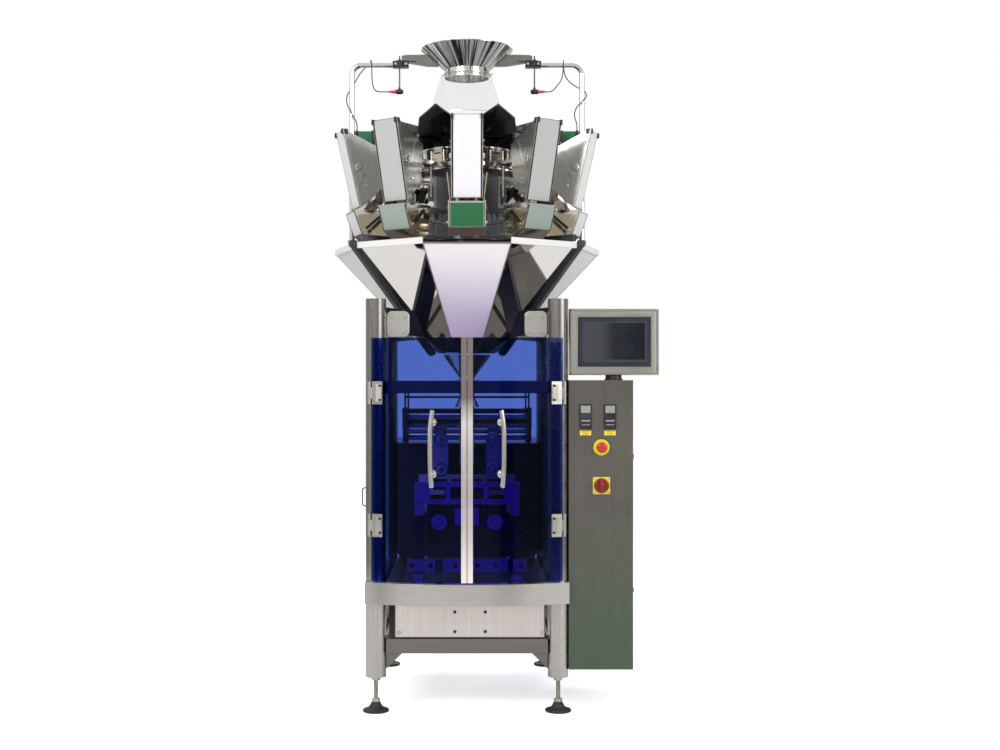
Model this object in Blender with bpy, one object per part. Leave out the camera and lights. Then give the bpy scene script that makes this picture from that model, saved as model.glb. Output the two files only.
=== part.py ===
"""Vertical form fill sealer with a ten-head weigher and an infeed cone on top.

Metres, +Z up. The machine's front faces -Y. The origin is on the floor, under the middle of
the machine's box. Every piece is drawn about the machine's own axis, the line down which the
product falls, and hangs on one empty that carries that axis to its place over the origin.
"""

import math

import bmesh
import bpy
from mathutils import Matrix, Vector

# ---------------------------------------------------------------- driving dimensions
GAP = 0.0003            # clearance between pieces that touch
RUNNING = 0.0006        # clearance of pieces that slide or turn in each other

POST_X = 0.340
POST_FRONT_Y = -0.450
POST_REAR_Y = 0.450
POST_RADIUS = 0.038
POST_WALL = 0.003
POST_BOTTOM = 0.131
POST_TOP = 1.539
POST_PLUG = 0.020

PAD_RADIUS = 0.049
PAD_HEIGHT = 0.036
STUD_RADIUS = 0.008
NUT_RADIUS = 0.014
NUT_HEIGHT = 0.014

BEAM = 0.040            # width of the frame's beams
LOWER_RING_Z = (0.219, 0.273)
SILL_RING_Z = (0.430, 0.470)
KICK_INSET = 0.050      # from the posts' middle to the kick plate's ends
KICK_THICKNESS = 0.004
SPACER_Y = (-0.200, -0.050)

RAIL_Z = (0.411, 0.490)
RAIL_BOW = 0.068
RAIL_WALL = 0.004
RAIL_DEPTH = 0.030      # from the post's front to the rail's front, at the ends

DOOR_OVERHANG = 0.014   # from the posts' middle out to the sheets' ends
DOOR_Z = (0.4935, 1.392)
DOOR_BOW = 0.060
DOOR_SHEET = 0.005
DOOR_CLEAR = 0.016      # from the post's front to the back of the sheet, at the hinges
DOOR_MEET = 0.001       # half of the slit between the doors
STRIP_WIDTH = 0.0215
STRIP_THICKNESS = 0.003
HINGE_Z = (0.700, 1.189)
HINGE_HEIGHT = 0.084
HINGE_LEAF = 0.042
HINGE_BARREL = 0.0065
HINGE_PIN = 0.003

HANDLE_X = 0.1295
HANDLE_Z = (0.843, 1.128)
HANDLE_KINKS = (0.893, 1.082)
HANDLE_SWAY = 0.0035
HANDLE_RADIUS = 0.0095
HANDLE_REACH = 0.048
STANDOFF_RADIUS = 0.0165

UPPER_RING_Z = (1.187, 1.234)
UPPER_RAIL_INSET = 0.085
UPPER_FRONT_BAR_Y = -0.150
UPPER_REAR_BAR_Y = 0.080
TUBE_PLATE = 0.008
TUBE_PLATE_HALF = 0.085

TUBE_RADIUS = 0.030
TUBE_WALL = 0.002
TUBE_BOTTOM = 0.900
TUBE_FLANGE = 0.050
CHUTE_TOP_RADIUS = 0.098
CHUTE_TOP_Z = 1.340
SHOULDER_RADIUS = 0.050
SHOULDER_Z = (1.130, 1.172)

FILM_PLATE = 0.006
FILM_PLATE_Y = (0.050, 0.420)
FILM_PLATE_BOTTOM = 0.973
FILM_ROLLER_RADIUS = 0.011
FILM_ROLLERS = ((0.130, 1.088), (0.180, 1.0685), (0.235, 1.048), (0.300, 0.998))
BELT_ROD_Y = 0.075
BELT_ROD_Z = 1.032
BELT_ROD_RADIUS = 0.007

PULLEY_RADIUS = 0.031
PULLEY_X = 0.107
PULLEY_Z = (0.877, 1.000)
BELT_HALF_WIDTH = 0.020

SEALER_Z = (0.930, 1.120)
SEALER_HALF_WIDTH = 0.014
SEALER_Y = (-0.078, -0.058)
SEALER_STEM_Z = 1.075
SEALER_STEM_RADIUS = 0.009

GUIDE_X = 0.185
GUIDE_Z = 0.700
GUIDE_RADIUS = 0.008
GUIDE_END_Y = 0.300
GUIDE_UPRIGHT = 0.020
GUIDE_FOOT_HEIGHT = 0.024
LOWER_PLATE_Z = (0.501, 0.550)
LOWER_PLATE_HALF = 0.230
ACTUATOR_Z = (0.680, 0.745)
ACTUATOR_HALF = 0.046
BOSS_X = 0.107

JAW_PLATE_HALF = 0.203
JAW_PLATE_Z = (0.757, 0.843)
JAW_RAIL = 0.019
JAW_PLATE_Y = 0.250
JAW_PLATE_THICKNESS = 0.012
JAW_BAR_HALF = 0.090
JAW_BAR_DEPTH = 0.045
JAW_OPEN = 0.055        # from the film to each jaw's face when open
JAW_ROD_X = 0.074
JAW_ROD_RADIUS = 0.008
JAW_BLOCK_DEPTH = 0.040
JAW_WINDOWS = ((-0.143, -0.083), (-0.064, 0.064), (0.083, 0.143))

CASING_CLEAR = 0.004    # from the casing's sides to the posts
CASING_Y = (0.345, 0.468)
CASING_TOP = 0.970
CASING_WALL = 0.003
BRACKET_INSET = 0.048
BRACKET_THICKNESS = 0.010
BRACKET_END_Y = 0.665
BRACKET_Z = (0.560, 0.660)
SHAFT_Y = 0.640
SHAFT_Z = 0.630
SHAFT_RADIUS = 0.012
SHAFT_OVERHANG = 0.040   # beyond the brackets' middles
CHUCK_RADIUS = 0.036
CHUCK_X = 0.190

CABINET_WIDTH = 0.240
CABINET_Y = (-0.470, 0.130)
CABINET_Z = (0.159, 1.236)
CABINET_WALL = 0.003
CONTROLLER_X = (0.0625, 0.1535)   # from the cabinet's left side
CONTROLLER_Z = (1.054, 1.146)
CONTROLLER_WIDTH = 0.045
CONTROLLER_PROUD = 0.007
CONTROLLER_DEPTH = 0.070
KNOB_X = 0.1215
ESTOP_Z = 0.986
ESTOP_COLLAR = 0.0305
ESTOP_COLLAR_THICKNESS = 0.008
ESTOP_HEAD = 0.0195
ESTOP_STEM = 0.0105
ESTOP_TRAVEL = 0.006
SWITCH_Z = 0.844
SWITCH_PLATE = 0.064
SWITCH_PLATE_THICKNESS = 0.004
SWITCH_KNOB = 0.0275
SWITCH_STEM = 0.0065

PIVOT_INSET = 0.1737    # from the cabinet's left side
PIVOT_Y = -0.400
PIVOT_RADIUS = 0.034
PIVOT_HEIGHT = 0.019
HMI_WIDTH = 0.335
HMI_DEPTH = 0.075
HMI_HEIGHT = 0.248
HMI_WALL = 0.003
HMI_CORNER = 0.012
SCREEN_WIDTH = 0.272
SCREEN_HEIGHT = 0.184
SCREEN_PROUD = 0.004

HEADS = 10
FUNNEL_TOP = (0.500, 1.743)       # radius to the middle of a panel, height
FUNNEL_WAIST = (0.195, 1.404)
FUNNEL_MOUTH = (0.105, 1.348)
FUNNEL_WALL = 0.003
LIP_TOP = 1.765
LIP_THICKNESS = 0.008

HUB_Z = (1.768, 1.798)
HUB_RADIUS = 0.120
SPOKE_WIDTH = 0.034
STRUT_WIDTH = 0.026
STRUT_DEPTH = 0.030
STRUT_CLEAR = 0.0007
STRUT_FOOT_Z = 1.440
ARM_Z = (1.407, 1.511)
ARM_THICKNESS = 0.012

CORE_RADIUS = 0.133
CORE_Z = (1.7985, 2.056)
DRUM_RADIUS = 0.200
DRUM_Z = (2.056, 2.154)

COVER_HALF = 0.0595
FEED_HALF = 0.055
FEED_WALL = 0.0025
FEED_OUTLINE = ((0.457, 1.915), (0.525, 2.216), (0.360, 2.135), (0.375, 1.985))
FEED_RING_Z = (2.075, 2.095)
WEIGH_HALF = 0.0695
WEIGH_WALL = 0.0025
WEIGH_OUTLINE = ((0.488, 1.903), (0.452, 1.806), (0.405, 1.776), (0.352, 1.790), (0.335, 1.903))
WEIGH_RING_Z = (1.850, 1.866)
RING_WALL = 0.014
GATE_BARREL = 0.005
GATE_SHEET = 0.003
GATE_SIDE_CLEAR = 0.0008

PAN_INNER = 0.128
PAN_OUTER = 0.385
PAN_HALF = (0.024, 0.046)
PAN_FLOOR = (2.196, 2.184)
PAN_WALL_TOP = (2.226, 2.238)
PAN_PEAK = (2.232, 2.287)
PAN_SHEET = 0.005
PAN_LEG_RADIUS = 0.165

DISC_RADIUS = 0.118
DISC_RIM_Z = 2.205
DISC_PEAK_Z = 2.275
DISC_SHAKE = 0.0005

CONE_TOP = (0.185, 2.575)
CONE_NECK = (0.090, 2.490)
CONE_END_Z = 2.455
CONE_WALL = 0.002
SKIRT_TOP = (0.108, 2.465)
SKIRT_END = (0.155, 2.302)

ARM_TUBE_RADIUS = 0.011
ARM_TUBE_X = 0.465
ARM_TUBE_Z = 2.514
ARM_TUBE_BEND = 0.042
ARM_TUBE_END_X = 0.235
CLAMP_HALF_WIDTH = 0.018
CLAMP_OUTER_X = 0.262
CLAMP_Z = (2.500, 2.553)
GLAND_X = 0.445
GLAND_RADIUS = 0.006
GLAND_Z = (2.205, 2.250)

SENSOR_X = 0.272
SENSOR_Y = -0.018
SENSOR_Z = 2.402
SENSOR_ROD_RADIUS = 0.003
SENSOR_ROD_TOP = 2.546
SENSOR_BODY_RADIUS = 0.010
SENSOR_BODY_HALF = 0.015
BOOT_LENGTH = 0.032
BOOT_RADII = (0.008, 0.004)
CABLE_RADIUS = 0.00225

POST_SIDES = 20
FOOT_SIDES = 14
BARREL_SIDES = 10
TUBE_SIDES = 18
BUTTON_SIDES = 16
CORE_SIDES = 20
CONE_SIDES = 24

# ---------------------------------------------------------------- worked out from them
POST_INSIDE = POST_X - POST_RADIUS
KICK_HALF_WIDTH = POST_X - KICK_INSET
UPPER_RAIL_X = POST_X - UPPER_RAIL_INSET
CASING_HALF = POST_INSIDE - CASING_CLEAR
BRACKET_X = CASING_HALF - BRACKET_INSET
SHAFT_HALF = BRACKET_X + SHAFT_OVERHANG
DOOR_HALF_SPAN = POST_X + DOOR_OVERHANG
CABINET_LEFT = POST_X + POST_RADIUS + GAP
PIVOT_X = CABINET_LEFT + PIVOT_INSET
DOOR_BACK_Y = POST_FRONT_Y - POST_RADIUS - DOOR_CLEAR
DOOR_RADIUS = (DOOR_HALF_SPAN ** 2 + DOOR_BOW ** 2) / (2 * DOOR_BOW)
HINGE_AXIS = (DOOR_HALF_SPAN + HINGE_BARREL, DOOR_BACK_Y - DOOR_SHEET / 2)
HALF_SECTOR = math.pi / HEADS
CORNER = 1 / math.cos(HALF_SECTOR)      # from a panel's middle radius to its corner's

REACH_LEFT = FUNNEL_TOP[0] * CORNER
REACH_RIGHT = PIVOT_X + HMI_WIDTH / 2


def bow_front(x):
    """How far forward the back of the door sheet stands at x from the middle."""
    rise = math.sqrt(DOOR_RADIUS ** 2 - x ** 2) - (DOOR_RADIUS - DOOR_BOW)
    return DOOR_BACK_Y - rise


HANDLE_Y = bow_front(HANDLE_X) - DOOR_SHEET - HANDLE_REACH
REACH_FRONT = HANDLE_RADIUS - HANDLE_Y
REACH_REAR = max(BRACKET_END_Y, SHAFT_Y + CHUCK_RADIUS)
MACHINE_X = (REACH_LEFT - REACH_RIGHT) / 2
MACHINE_Y = (REACH_FRONT - REACH_REAR) / 2


# ---------------------------------------------------------------- materials
def material(name, colour, roughness, metallic, alpha=1.0):
    made = bpy.data.materials.new(name)
    made.use_nodes = True
    shader = made.node_tree.nodes["Principled BSDF"]
    shader.inputs["Base Color"].default_value = (*colour, 1.0)
    shader.inputs["Roughness"].default_value = roughness
    shader.inputs["Metallic"].default_value = metallic
    shader.inputs["Alpha"].default_value = alpha
    made.diffuse_color = (*colour, alpha)
    return made


# ---------------------------------------------------------------- shapes
def solid(mesh_builder, name="piece"):
    """One object from a bmesh, its faces turned outwards."""
    bmesh.ops.recalc_face_normals(mesh_builder, faces=mesh_builder.faces)
    mesh = bpy.data.meshes.new(name)
    mesh_builder.to_mesh(mesh)
    mesh_builder.free()
    made = bpy.data.objects.new(name, mesh)
    bpy.context.scene.collection.objects.link(made)
    return made


def block(x_range, y_range, z_range):
    builder = bmesh.new()
    bmesh.ops.create_cube(builder, size=1.0)
    ranges = [sorted(pair) for pair in (x_range, y_range, z_range)]
    size = [high - low for low, high in ranges]
    middle = [(high + low) / 2 for low, high in ranges]
    placed = Matrix.Translation(middle) @ Matrix.Diagonal((*size, 1.0))
    bmesh.ops.transform(builder, matrix=placed, verts=builder.verts)
    return solid(builder)


def prism(outline, low, high, along="Z"):
    """A flat outline pushed from low to high along an axis; the outline is in the other two."""
    place = {
        "X": lambda u, v, w: (w, u, v),
        "Y": lambda u, v, w: (u, w, v),
        "Z": lambda u, v, w: (u, v, w),
    }[along]
    builder = bmesh.new()
    face = builder.faces.new([builder.verts.new(place(u, v, low)) for u, v in outline])
    pushed = bmesh.ops.extrude_face_region(builder, geom=[face])
    tops = [part for part in pushed["geom"] if isinstance(part, bmesh.types.BMVert)]
    bmesh.ops.translate(builder, verts=tops, vec=place(0.0, 0.0, high - low))
    return solid(builder)


def turned(profile, sides, centre=(0.0, 0.0, 0.0), along="Z", start=0.0):
    """A closed outline of (radius, height) points spun about an axis through centre."""
    builder = bmesh.new()
    rings = []
    for radius, height in profile:
        if radius < 1e-6:
            rings.append([builder.verts.new((0.0, 0.0, height))] * sides)
            continue
        ring = []
        for step in range(sides):
            angle = start + 2 * math.pi * step / sides
            ring.append(builder.verts.new((radius * math.cos(angle), radius * math.sin(angle), height)))
        rings.append(ring)
    for index, ring in enumerate(rings):
        following = rings[(index + 1) % len(rings)]
        for step in range(sides):
            after = (step + 1) % sides
            corners = [ring[step], ring[after], following[after], following[step]]
            corners = list(dict.fromkeys(corners))
            if len(corners) > 2:
                builder.faces.new(corners)
    turn = {
        "Z": Matrix.Identity(4),
        "X": Matrix.Rotation(math.pi / 2, 4, "Y"),
        "Y": Matrix.Rotation(-math.pi / 2, 4, "X"),
    }[along]
    bmesh.ops.transform(builder, matrix=Matrix.Translation(centre) @ turn, verts=builder.verts)
    return solid(builder)


def rod(start, end, radius, sides=12):
    """A round bar between two points."""
    start, end = Vector(start), Vector(end)
    builder = bmesh.new()
    length = (end - start).length
    bmesh.ops.create_cone(
        builder, cap_ends=True, segments=sides, radius1=radius, radius2=radius, depth=length
    )
    turn = Vector((0, 0, 1)).rotation_difference(end - start).to_matrix().to_4x4()
    placed = Matrix.Translation((start + end) / 2) @ turn
    bmesh.ops.transform(builder, matrix=placed, verts=builder.verts)
    return solid(builder)


def bar_between(start, end, width, depth):
    """A square bar between two points, its depth lying in the upright plane through them."""
    start, end = Vector(start), Vector(end)
    forward = (end - start).normalized()
    sideways = forward.cross(Vector((0, 0, 1))).normalized()
    upward = sideways.cross(forward)
    builder = bmesh.new()
    bmesh.ops.create_cube(builder, size=1.0)
    turn = Matrix((sideways * width, upward * depth, forward * (end - start).length)).transposed()
    placed = Matrix.Translation((start + end) / 2) @ turn.to_4x4()
    bmesh.ops.transform(builder, matrix=placed, verts=builder.verts)
    return solid(builder)


def swept(points, radius, resolution):
    """A round tube along points, as a curve object with filled caps."""
    curve = bpy.data.curves.new("tube", "CURVE")
    curve.dimensions = "3D"
    curve.bevel_depth = radius
    curve.bevel_resolution = resolution
    curve.use_fill_caps = True
    spline = curve.splines.new("POLY")
    spline.points.add(len(points) - 1)
    for place, point in zip(spline.points, points):
        place.co = (*point, 1.0)
    made = bpy.data.objects.new("tube", curve)
    bpy.context.scene.collection.objects.link(made)
    return made


def meshed(shape):
    """The shape as the modifiers leave it, as a plain mesh object in its place."""
    graph = bpy.context.evaluated_depsgraph_get()
    mesh = bpy.data.meshes.new_from_object(shape.evaluated_get(graph))
    made = bpy.data.objects.new("piece", mesh)
    bpy.context.scene.collection.objects.link(made)
    bpy.data.objects.remove(shape)
    return made


def combined(first, others, operation):
    """The first shape joined with, or cut by, each of the others, which are used up."""
    for other in others:
        modifier = first.modifiers.new("combine", "BOOLEAN")
        modifier.operation = operation
        modifier.solver = "EXACT"
        modifier.object = other
    bpy.context.view_layer.update()
    result = meshed(first)
    for other in others:
        bpy.data.objects.remove(other)
    return result


def joined(*shapes):
    return combined(shapes[0], shapes[1:], "UNION")


def cut(shape, *cutters):
    return combined(shape, cutters, "DIFFERENCE")


def inset(outline, distances):
    """The outline with each edge moved inwards by its own distance, or outwards if negative."""
    count = len(outline)
    area = sum(
        outline[i][0] * outline[(i + 1) % count][1] - outline[(i + 1) % count][0] * outline[i][1]
        for i in range(count)
    )
    sense = 1.0 if area > 0 else -1.0
    edges = []
    for i in range(count):
        start, end = Vector(outline[i]), Vector(outline[(i + 1) % count])
        along = (end - start).normalized()
        inward = Vector((-along.y, along.x)) * sense
        edges.append((start + inward * distances[i], along))
    corners = []
    for i in range(count):
        (point_a, along_a), (point_b, along_b) = edges[i - 1], edges[i]
        between = point_b - point_a
        crossing = along_a.x * along_b.y - along_a.y * along_b.x
        reach = (between.x * along_b.y - between.y * along_b.x) / crossing
        corners.append(tuple(point_a + along_a * reach))
    return corners


def arc(centre, radius, start, end, steps):
    """Points on an arc from angle start to angle end."""
    return [
        (
            centre[0] + radius * math.cos(start + (end - start) * step / steps),
            centre[1] + radius * math.sin(start + (end - start) * step / steps),
        )
        for step in range(steps + 1)
    ]


def bow_arc(half_span, end_y, bow, steps, low_x, high_x):
    """Points of a forward-bowed arc between two x places, at the same bow over the whole span."""
    radius = (half_span ** 2 + bow ** 2) / (2 * bow)
    points = []
    for step in range(steps + 1):
        x = low_x + (high_x - low_x) * step / steps
        rise = math.sqrt(radius ** 2 - x ** 2) - (radius - bow)
        points.append((x, end_y - rise))
    return points


def around(shape, angle):
    """The shape turned about the machine's axis."""
    shape.data.transform(Matrix.Rotation(angle, 4, "Z"))
    return shape


def mirrored(shape):
    """The shape as seen in a mirror on the machine's middle plane, its faces still outwards."""
    shape.data.transform(Matrix.Scale(-1.0, 4, Vector((1, 0, 0))))
    shape.data.flip_normals()
    return shape


def side_sign(side):
    return -1.0 if side == "left" else 1.0


# ---------------------------------------------------------------- naming and placing
def keep(shape, name, finish, pivot=(0.0, 0.0, 0.0), smooth=30.0):
    """Names a finished piece, gives it its finish and sets its origin on its joint's axis."""
    shape.name = name
    shape.data.name = name
    shape.data.materials.clear()
    shape.data.materials.append(finish)
    if shape.type == "MESH":
        shape.data.transform(Matrix.Translation(-Vector(pivot)))
        shape.data.shade_smooth()
        shape.data.set_sharp_from_angle(angle=math.radians(smooth))
    shape.parent = machine
    shape.location = pivot
    return shape


# ---------------------------------------------------------------- frame
def hinge_bracket(side, height):
    """The fixed half of a hinge: two knuckles on a pin, carried from the post by an arm."""
    axis_x, axis_y = HINGE_AXIS
    low, high = height - HINGE_HEIGHT / 2, height + HINGE_HEIGHT / 2
    knuckle = HINGE_HEIGHT / 4
    pieces = [rod((axis_x, axis_y, low), (axis_x, axis_y, high), HINGE_PIN, 8)]
    for start in (low, high - knuckle):
        foot, head = (axis_x, axis_y, start), (axis_x, axis_y, start + knuckle)
        pieces.append(rod(foot, head, HINGE_BARREL, BARREL_SIDES))
        pieces.append(
            block(
                (axis_x - HINGE_BARREL * 0.6, axis_x + HINGE_BARREL * 0.6),
                (axis_y, POST_FRONT_Y - POST_RADIUS + 0.010),
                (start, start + knuckle),
            )
        )
    bracket = joined(*pieces)
    return bracket if side == "right" else mirrored(bracket)


def post(side, end_y, hinged):
    x = side_sign(side) * POST_X
    inner = POST_RADIUS - POST_WALL
    tube = turned(
        [
            (POST_RADIUS, POST_TOP),
            (POST_RADIUS, POST_BOTTOM),
            (0.0, POST_BOTTOM),
            (0.0, POST_BOTTOM + POST_PLUG),
            (inner, POST_BOTTOM + POST_PLUG),
            (inner, POST_TOP),
        ],
        POST_SIDES,
        centre=(x, end_y, 0.0),
    )
    if hinged:
        tube = joined(tube, *[hinge_bracket(side, height) for height in HINGE_Z])
    return tube


def foot(side, end_y):
    """A levelling foot: a bell pad, a stud, and a lock nut under the post."""
    x = side_sign(side) * POST_X
    top = POST_BOTTOM - GAP
    return turned(
        [
            (0.0, top),
            (NUT_RADIUS, top),
            (NUT_RADIUS, top - NUT_HEIGHT),
            (STUD_RADIUS, top - NUT_HEIGHT),
            (STUD_RADIUS, PAD_HEIGHT + NUT_HEIGHT),
            (NUT_RADIUS, PAD_HEIGHT + NUT_HEIGHT),
            (NUT_RADIUS, PAD_HEIGHT),
            (PAD_RADIUS * 0.45, PAD_HEIGHT * 0.8),
            (PAD_RADIUS * 0.9, PAD_HEIGHT * 0.42),
            (PAD_RADIUS, PAD_HEIGHT * 0.2),
            (PAD_RADIUS, 0.0),
            (0.0, 0.0),
        ],
        FOOT_SIDES,
        centre=(x, end_y, 0.0),
    )


def post_ring(z_range):
    """Four beams between the posts, joined at the corners inside them."""
    half = BEAM / 2
    reach_x = POST_INSIDE - GAP
    front_y, rear_y = POST_FRONT_Y, POST_REAR_Y
    clear_y = POST_RADIUS + GAP
    beams = [
        block((-reach_x, reach_x), (front_y - half, front_y + half), z_range),
        block((-reach_x, reach_x), (rear_y - half, rear_y + half), z_range),
    ]
    for sign in (-1, 1):
        side_x = (sign * (POST_X - half), sign * (POST_X + half))
        beams.append(block(side_x, (front_y + clear_y, rear_y - clear_y), z_range))
        inner_x = (sign * (POST_INSIDE - GAP - BEAM), sign * (POST_INSIDE - GAP))
        beams.append(block(inner_x, (front_y - half, rear_y + half), z_range))
    for sign in (-1, 1):
        for end_y in (front_y, rear_y):
            inward = 1 if end_y < 0 else -1
            near_y = end_y + inward * clear_y
            beams.append(
                block(
                    (sign * (POST_INSIDE - BEAM / 2), sign * (POST_X + half)),
                    (near_y, near_y + inward * BEAM),
                    z_range,
                )
            )
    return beams


def gusset(sign, end_y):
    """A slanted strap from the post's foot up to the lower ring."""
    reach = POST_INSIDE - GAP
    low, high = LOWER_RING_Z[0] - 0.060, LOWER_RING_Z[0] + 0.010
    outline = [
        (sign * reach, low),
        (sign * reach, high),
        (sign * (reach - 0.070), high),
        (sign * (reach - 0.058), LOWER_RING_Z[0] - 0.004),
    ]
    return prism(outline, end_y - 0.004, end_y + 0.004, along="Y")


def base_frame():
    """The lower ring, the sill ring, the plates between them and the spacers for the cabinet."""
    pieces = post_ring(LOWER_RING_Z) + post_ring(SILL_RING_Z)
    overlap = 0.008
    plate_z = (LOWER_RING_Z[1] - overlap, SILL_RING_Z[0] + overlap)
    for end_y in (POST_FRONT_Y, POST_REAR_Y):
        outer = end_y - math.copysign(BEAM / 2, -end_y) if end_y > 0 else end_y - BEAM / 2
        inner = outer + (KICK_THICKNESS if end_y < 0 else -KICK_THICKNESS)
        pieces.append(block((-KICK_HALF_WIDTH, KICK_HALF_WIDTH), (outer, inner), plate_z))
        pieces += [gusset(sign, end_y) for sign in (-1, 1)]
    for z_range in (LOWER_RING_Z, SILL_RING_Z):
        pieces.append(block((POST_X, CABINET_LEFT - GAP), SPACER_Y, z_range))
    return joined(*pieces)


def bow_rail():
    """The bowed sill in front of the posts: a channel, open below, that clears the posts."""
    end_x = POST_X + POST_RADIUS
    end_y = POST_FRONT_Y - POST_RADIUS - RAIL_DEPTH
    front = bow_arc(end_x, end_y, RAIL_BOW, 20, -end_x, end_x)
    back_y = POST_FRONT_Y - BEAM / 2 - GAP
    rail = prism(front + [(end_x, back_y), (-end_x, back_y)], *RAIL_Z)
    hollow_end = end_x - RAIL_WALL
    inner = bow_arc(end_x, end_y + RAIL_WALL, RAIL_BOW, 20, -hollow_end, hollow_end)
    wall_y = POST_FRONT_Y - POST_RADIUS - RAIL_WALL - GAP
    inner += [(hollow_end, wall_y), (-hollow_end, wall_y)]
    hollow = prism(inner, RAIL_Z[0] - 0.01, RAIL_Z[1] - RAIL_WALL)
    cutters = [hollow]
    for sign in (-1, 1):
        start = (sign * POST_X, POST_FRONT_Y, RAIL_Z[0] - 0.01)
        end = (sign * POST_X, POST_FRONT_Y, RAIL_Z[1] + 0.01)
        cutters.append(rod(start, end, POST_RADIUS + GAP * 3, POST_SIDES))
    return cut(rail, *cutters)


def upper_frame():
    """The upper ring, two rails, two cross bars, the tube's plate and the sealer's hanger."""
    pieces = post_ring(UPPER_RING_Z)
    half = BEAM / 2
    reach_y = POST_REAR_Y
    for sign in (-1, 1):
        rail_x = sign * UPPER_RAIL_X
        pieces.append(block((rail_x - half, rail_x + half), (-reach_y, reach_y), UPPER_RING_Z))
    for bar_y in (UPPER_FRONT_BAR_Y, UPPER_REAR_BAR_Y):
        pieces.append(
            block((-UPPER_RAIL_X, UPPER_RAIL_X), (bar_y - half, bar_y + half), UPPER_RING_Z)
        )
    plate_y = (UPPER_FRONT_BAR_Y, UPPER_REAR_BAR_Y)
    plate_z = (UPPER_RING_Z[1] - TUBE_PLATE, UPPER_RING_Z[1])
    pieces.append(block((-TUBE_PLATE_HALF, TUBE_PLATE_HALF), plate_y, plate_z))
    hanger_y = (UPPER_FRONT_BAR_Y - 0.006, UPPER_FRONT_BAR_Y + 0.006)
    hanger_z = (SEALER_STEM_Z - 0.030, UPPER_RING_Z[1] - 0.010)
    pieces.append(block((-0.019, 0.019), hanger_y, hanger_z))
    frame = joined(*pieces)
    low, high = UPPER_RING_Z[0] - 0.01, UPPER_RING_Z[1] + 0.01
    hole = rod((0, 0, low), (0, 0, high), TUBE_RADIUS + RUNNING, TUBE_SIDES)
    bush = rod(
        (0, hanger_y[0] - 0.01, SEALER_STEM_Z),
        (0, hanger_y[1] + 0.01, SEALER_STEM_Z),
        SEALER_STEM_RADIUS + RUNNING,
        16,
    )
    return cut(frame, hole, bush)


# ---------------------------------------------------------------- film and sealing
def forming_tube():
    """The chute, the tube that the film is wrapped round, its flange and its shoulder."""
    inner = TUBE_RADIUS - TUBE_WALL
    flange = (UPPER_RING_Z[1] + GAP, UPPER_RING_Z[1] + GAP + 0.006)
    neck_z = flange[1] + 0.010
    return turned(
        [
            (CHUTE_TOP_RADIUS, CHUTE_TOP_Z),
            (TUBE_RADIUS + 0.001, neck_z),
            (TUBE_RADIUS, flange[1]),
            (TUBE_FLANGE, flange[1]),
            (TUBE_FLANGE, flange[0]),
            (TUBE_RADIUS, flange[0]),
            (TUBE_RADIUS, SHOULDER_Z[1]),
            (SHOULDER_RADIUS, SHOULDER_Z[0]),
            (SHOULDER_RADIUS - TUBE_WALL, SHOULDER_Z[0]),
            (TUBE_RADIUS, SHOULDER_Z[1] - 0.012),
            (TUBE_RADIUS, TUBE_BOTTOM),
            (inner, TUBE_BOTTOM),
            (inner, neck_z),
            (CHUTE_TOP_RADIUS - TUBE_WALL, CHUTE_TOP_Z),
        ],
        TUBE_SIDES,
    )


def film_frame():
    """Two plates that hang from the upper rails and hold the film's rollers and the belts' rod."""
    pieces = []
    top = UPPER_RING_Z[0] - GAP
    for sign in (-1, 1):
        inner, outer = UPPER_RAIL_X - FILM_PLATE / 2, UPPER_RAIL_X + FILM_PLATE / 2
        plate_x = (sign * inner, sign * outer)
        pieces.append(block(plate_x, FILM_PLATE_Y, (FILM_PLATE_BOTTOM, top)))
    for y, z in FILM_ROLLERS:
        pieces.append(rod((-UPPER_RAIL_X, y, z), (UPPER_RAIL_X, y, z), FILM_ROLLER_RADIUS, 10))
    rod_ends = [(sign * UPPER_RAIL_X, BELT_ROD_Y, BELT_ROD_Z) for sign in (-1, 1)]
    pieces.append(rod(*rod_ends, BELT_ROD_RADIUS, 12))
    return joined(*pieces)


def belt_unit(side):
    """A pull belt round two pulleys, on a carriage that slides on the belts' rod."""
    low_z, high_z = PULLEY_Z
    belt_outline = arc((PULLEY_X, high_z), PULLEY_RADIUS, 0.0, math.pi, 8)
    belt_outline += arc((PULLEY_X, low_z), PULLEY_RADIUS, math.pi, 2 * math.pi, 8)
    belt = prism(belt_outline, -BELT_HALF_WIDTH, BELT_HALF_WIDTH, along="Y")
    carriage_x = (PULLEY_X - 0.024, PULLEY_X + 0.024)
    block_half = BELT_ROD_RADIUS + 0.009
    carriage = block(
        carriage_x,
        (0.0, BELT_ROD_Y + block_half),
        (BELT_ROD_Z - block_half, BELT_ROD_Z + block_half),
    )
    back = block(carriage_x, (0.0, BELT_HALF_WIDTH + 0.006), (low_z, BELT_ROD_Z))
    unit = joined(belt, back, carriage)
    hubs = []
    for z in PULLEY_Z:
        start = (PULLEY_X, -BELT_HALF_WIDTH - 0.004, z)
        hubs.append(rod(start, (PULLEY_X, 0.0, z), 0.012, 12))
    unit = joined(unit, *hubs)
    bore_start = (carriage_x[0] - 0.01, BELT_ROD_Y, BELT_ROD_Z)
    bore_end = (carriage_x[1] + 0.01, BELT_ROD_Y, BELT_ROD_Z)
    unit = cut(unit, rod(bore_start, bore_end, BELT_ROD_RADIUS + RUNNING, 12))
    return unit if side == "right" else mirrored(unit)


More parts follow.
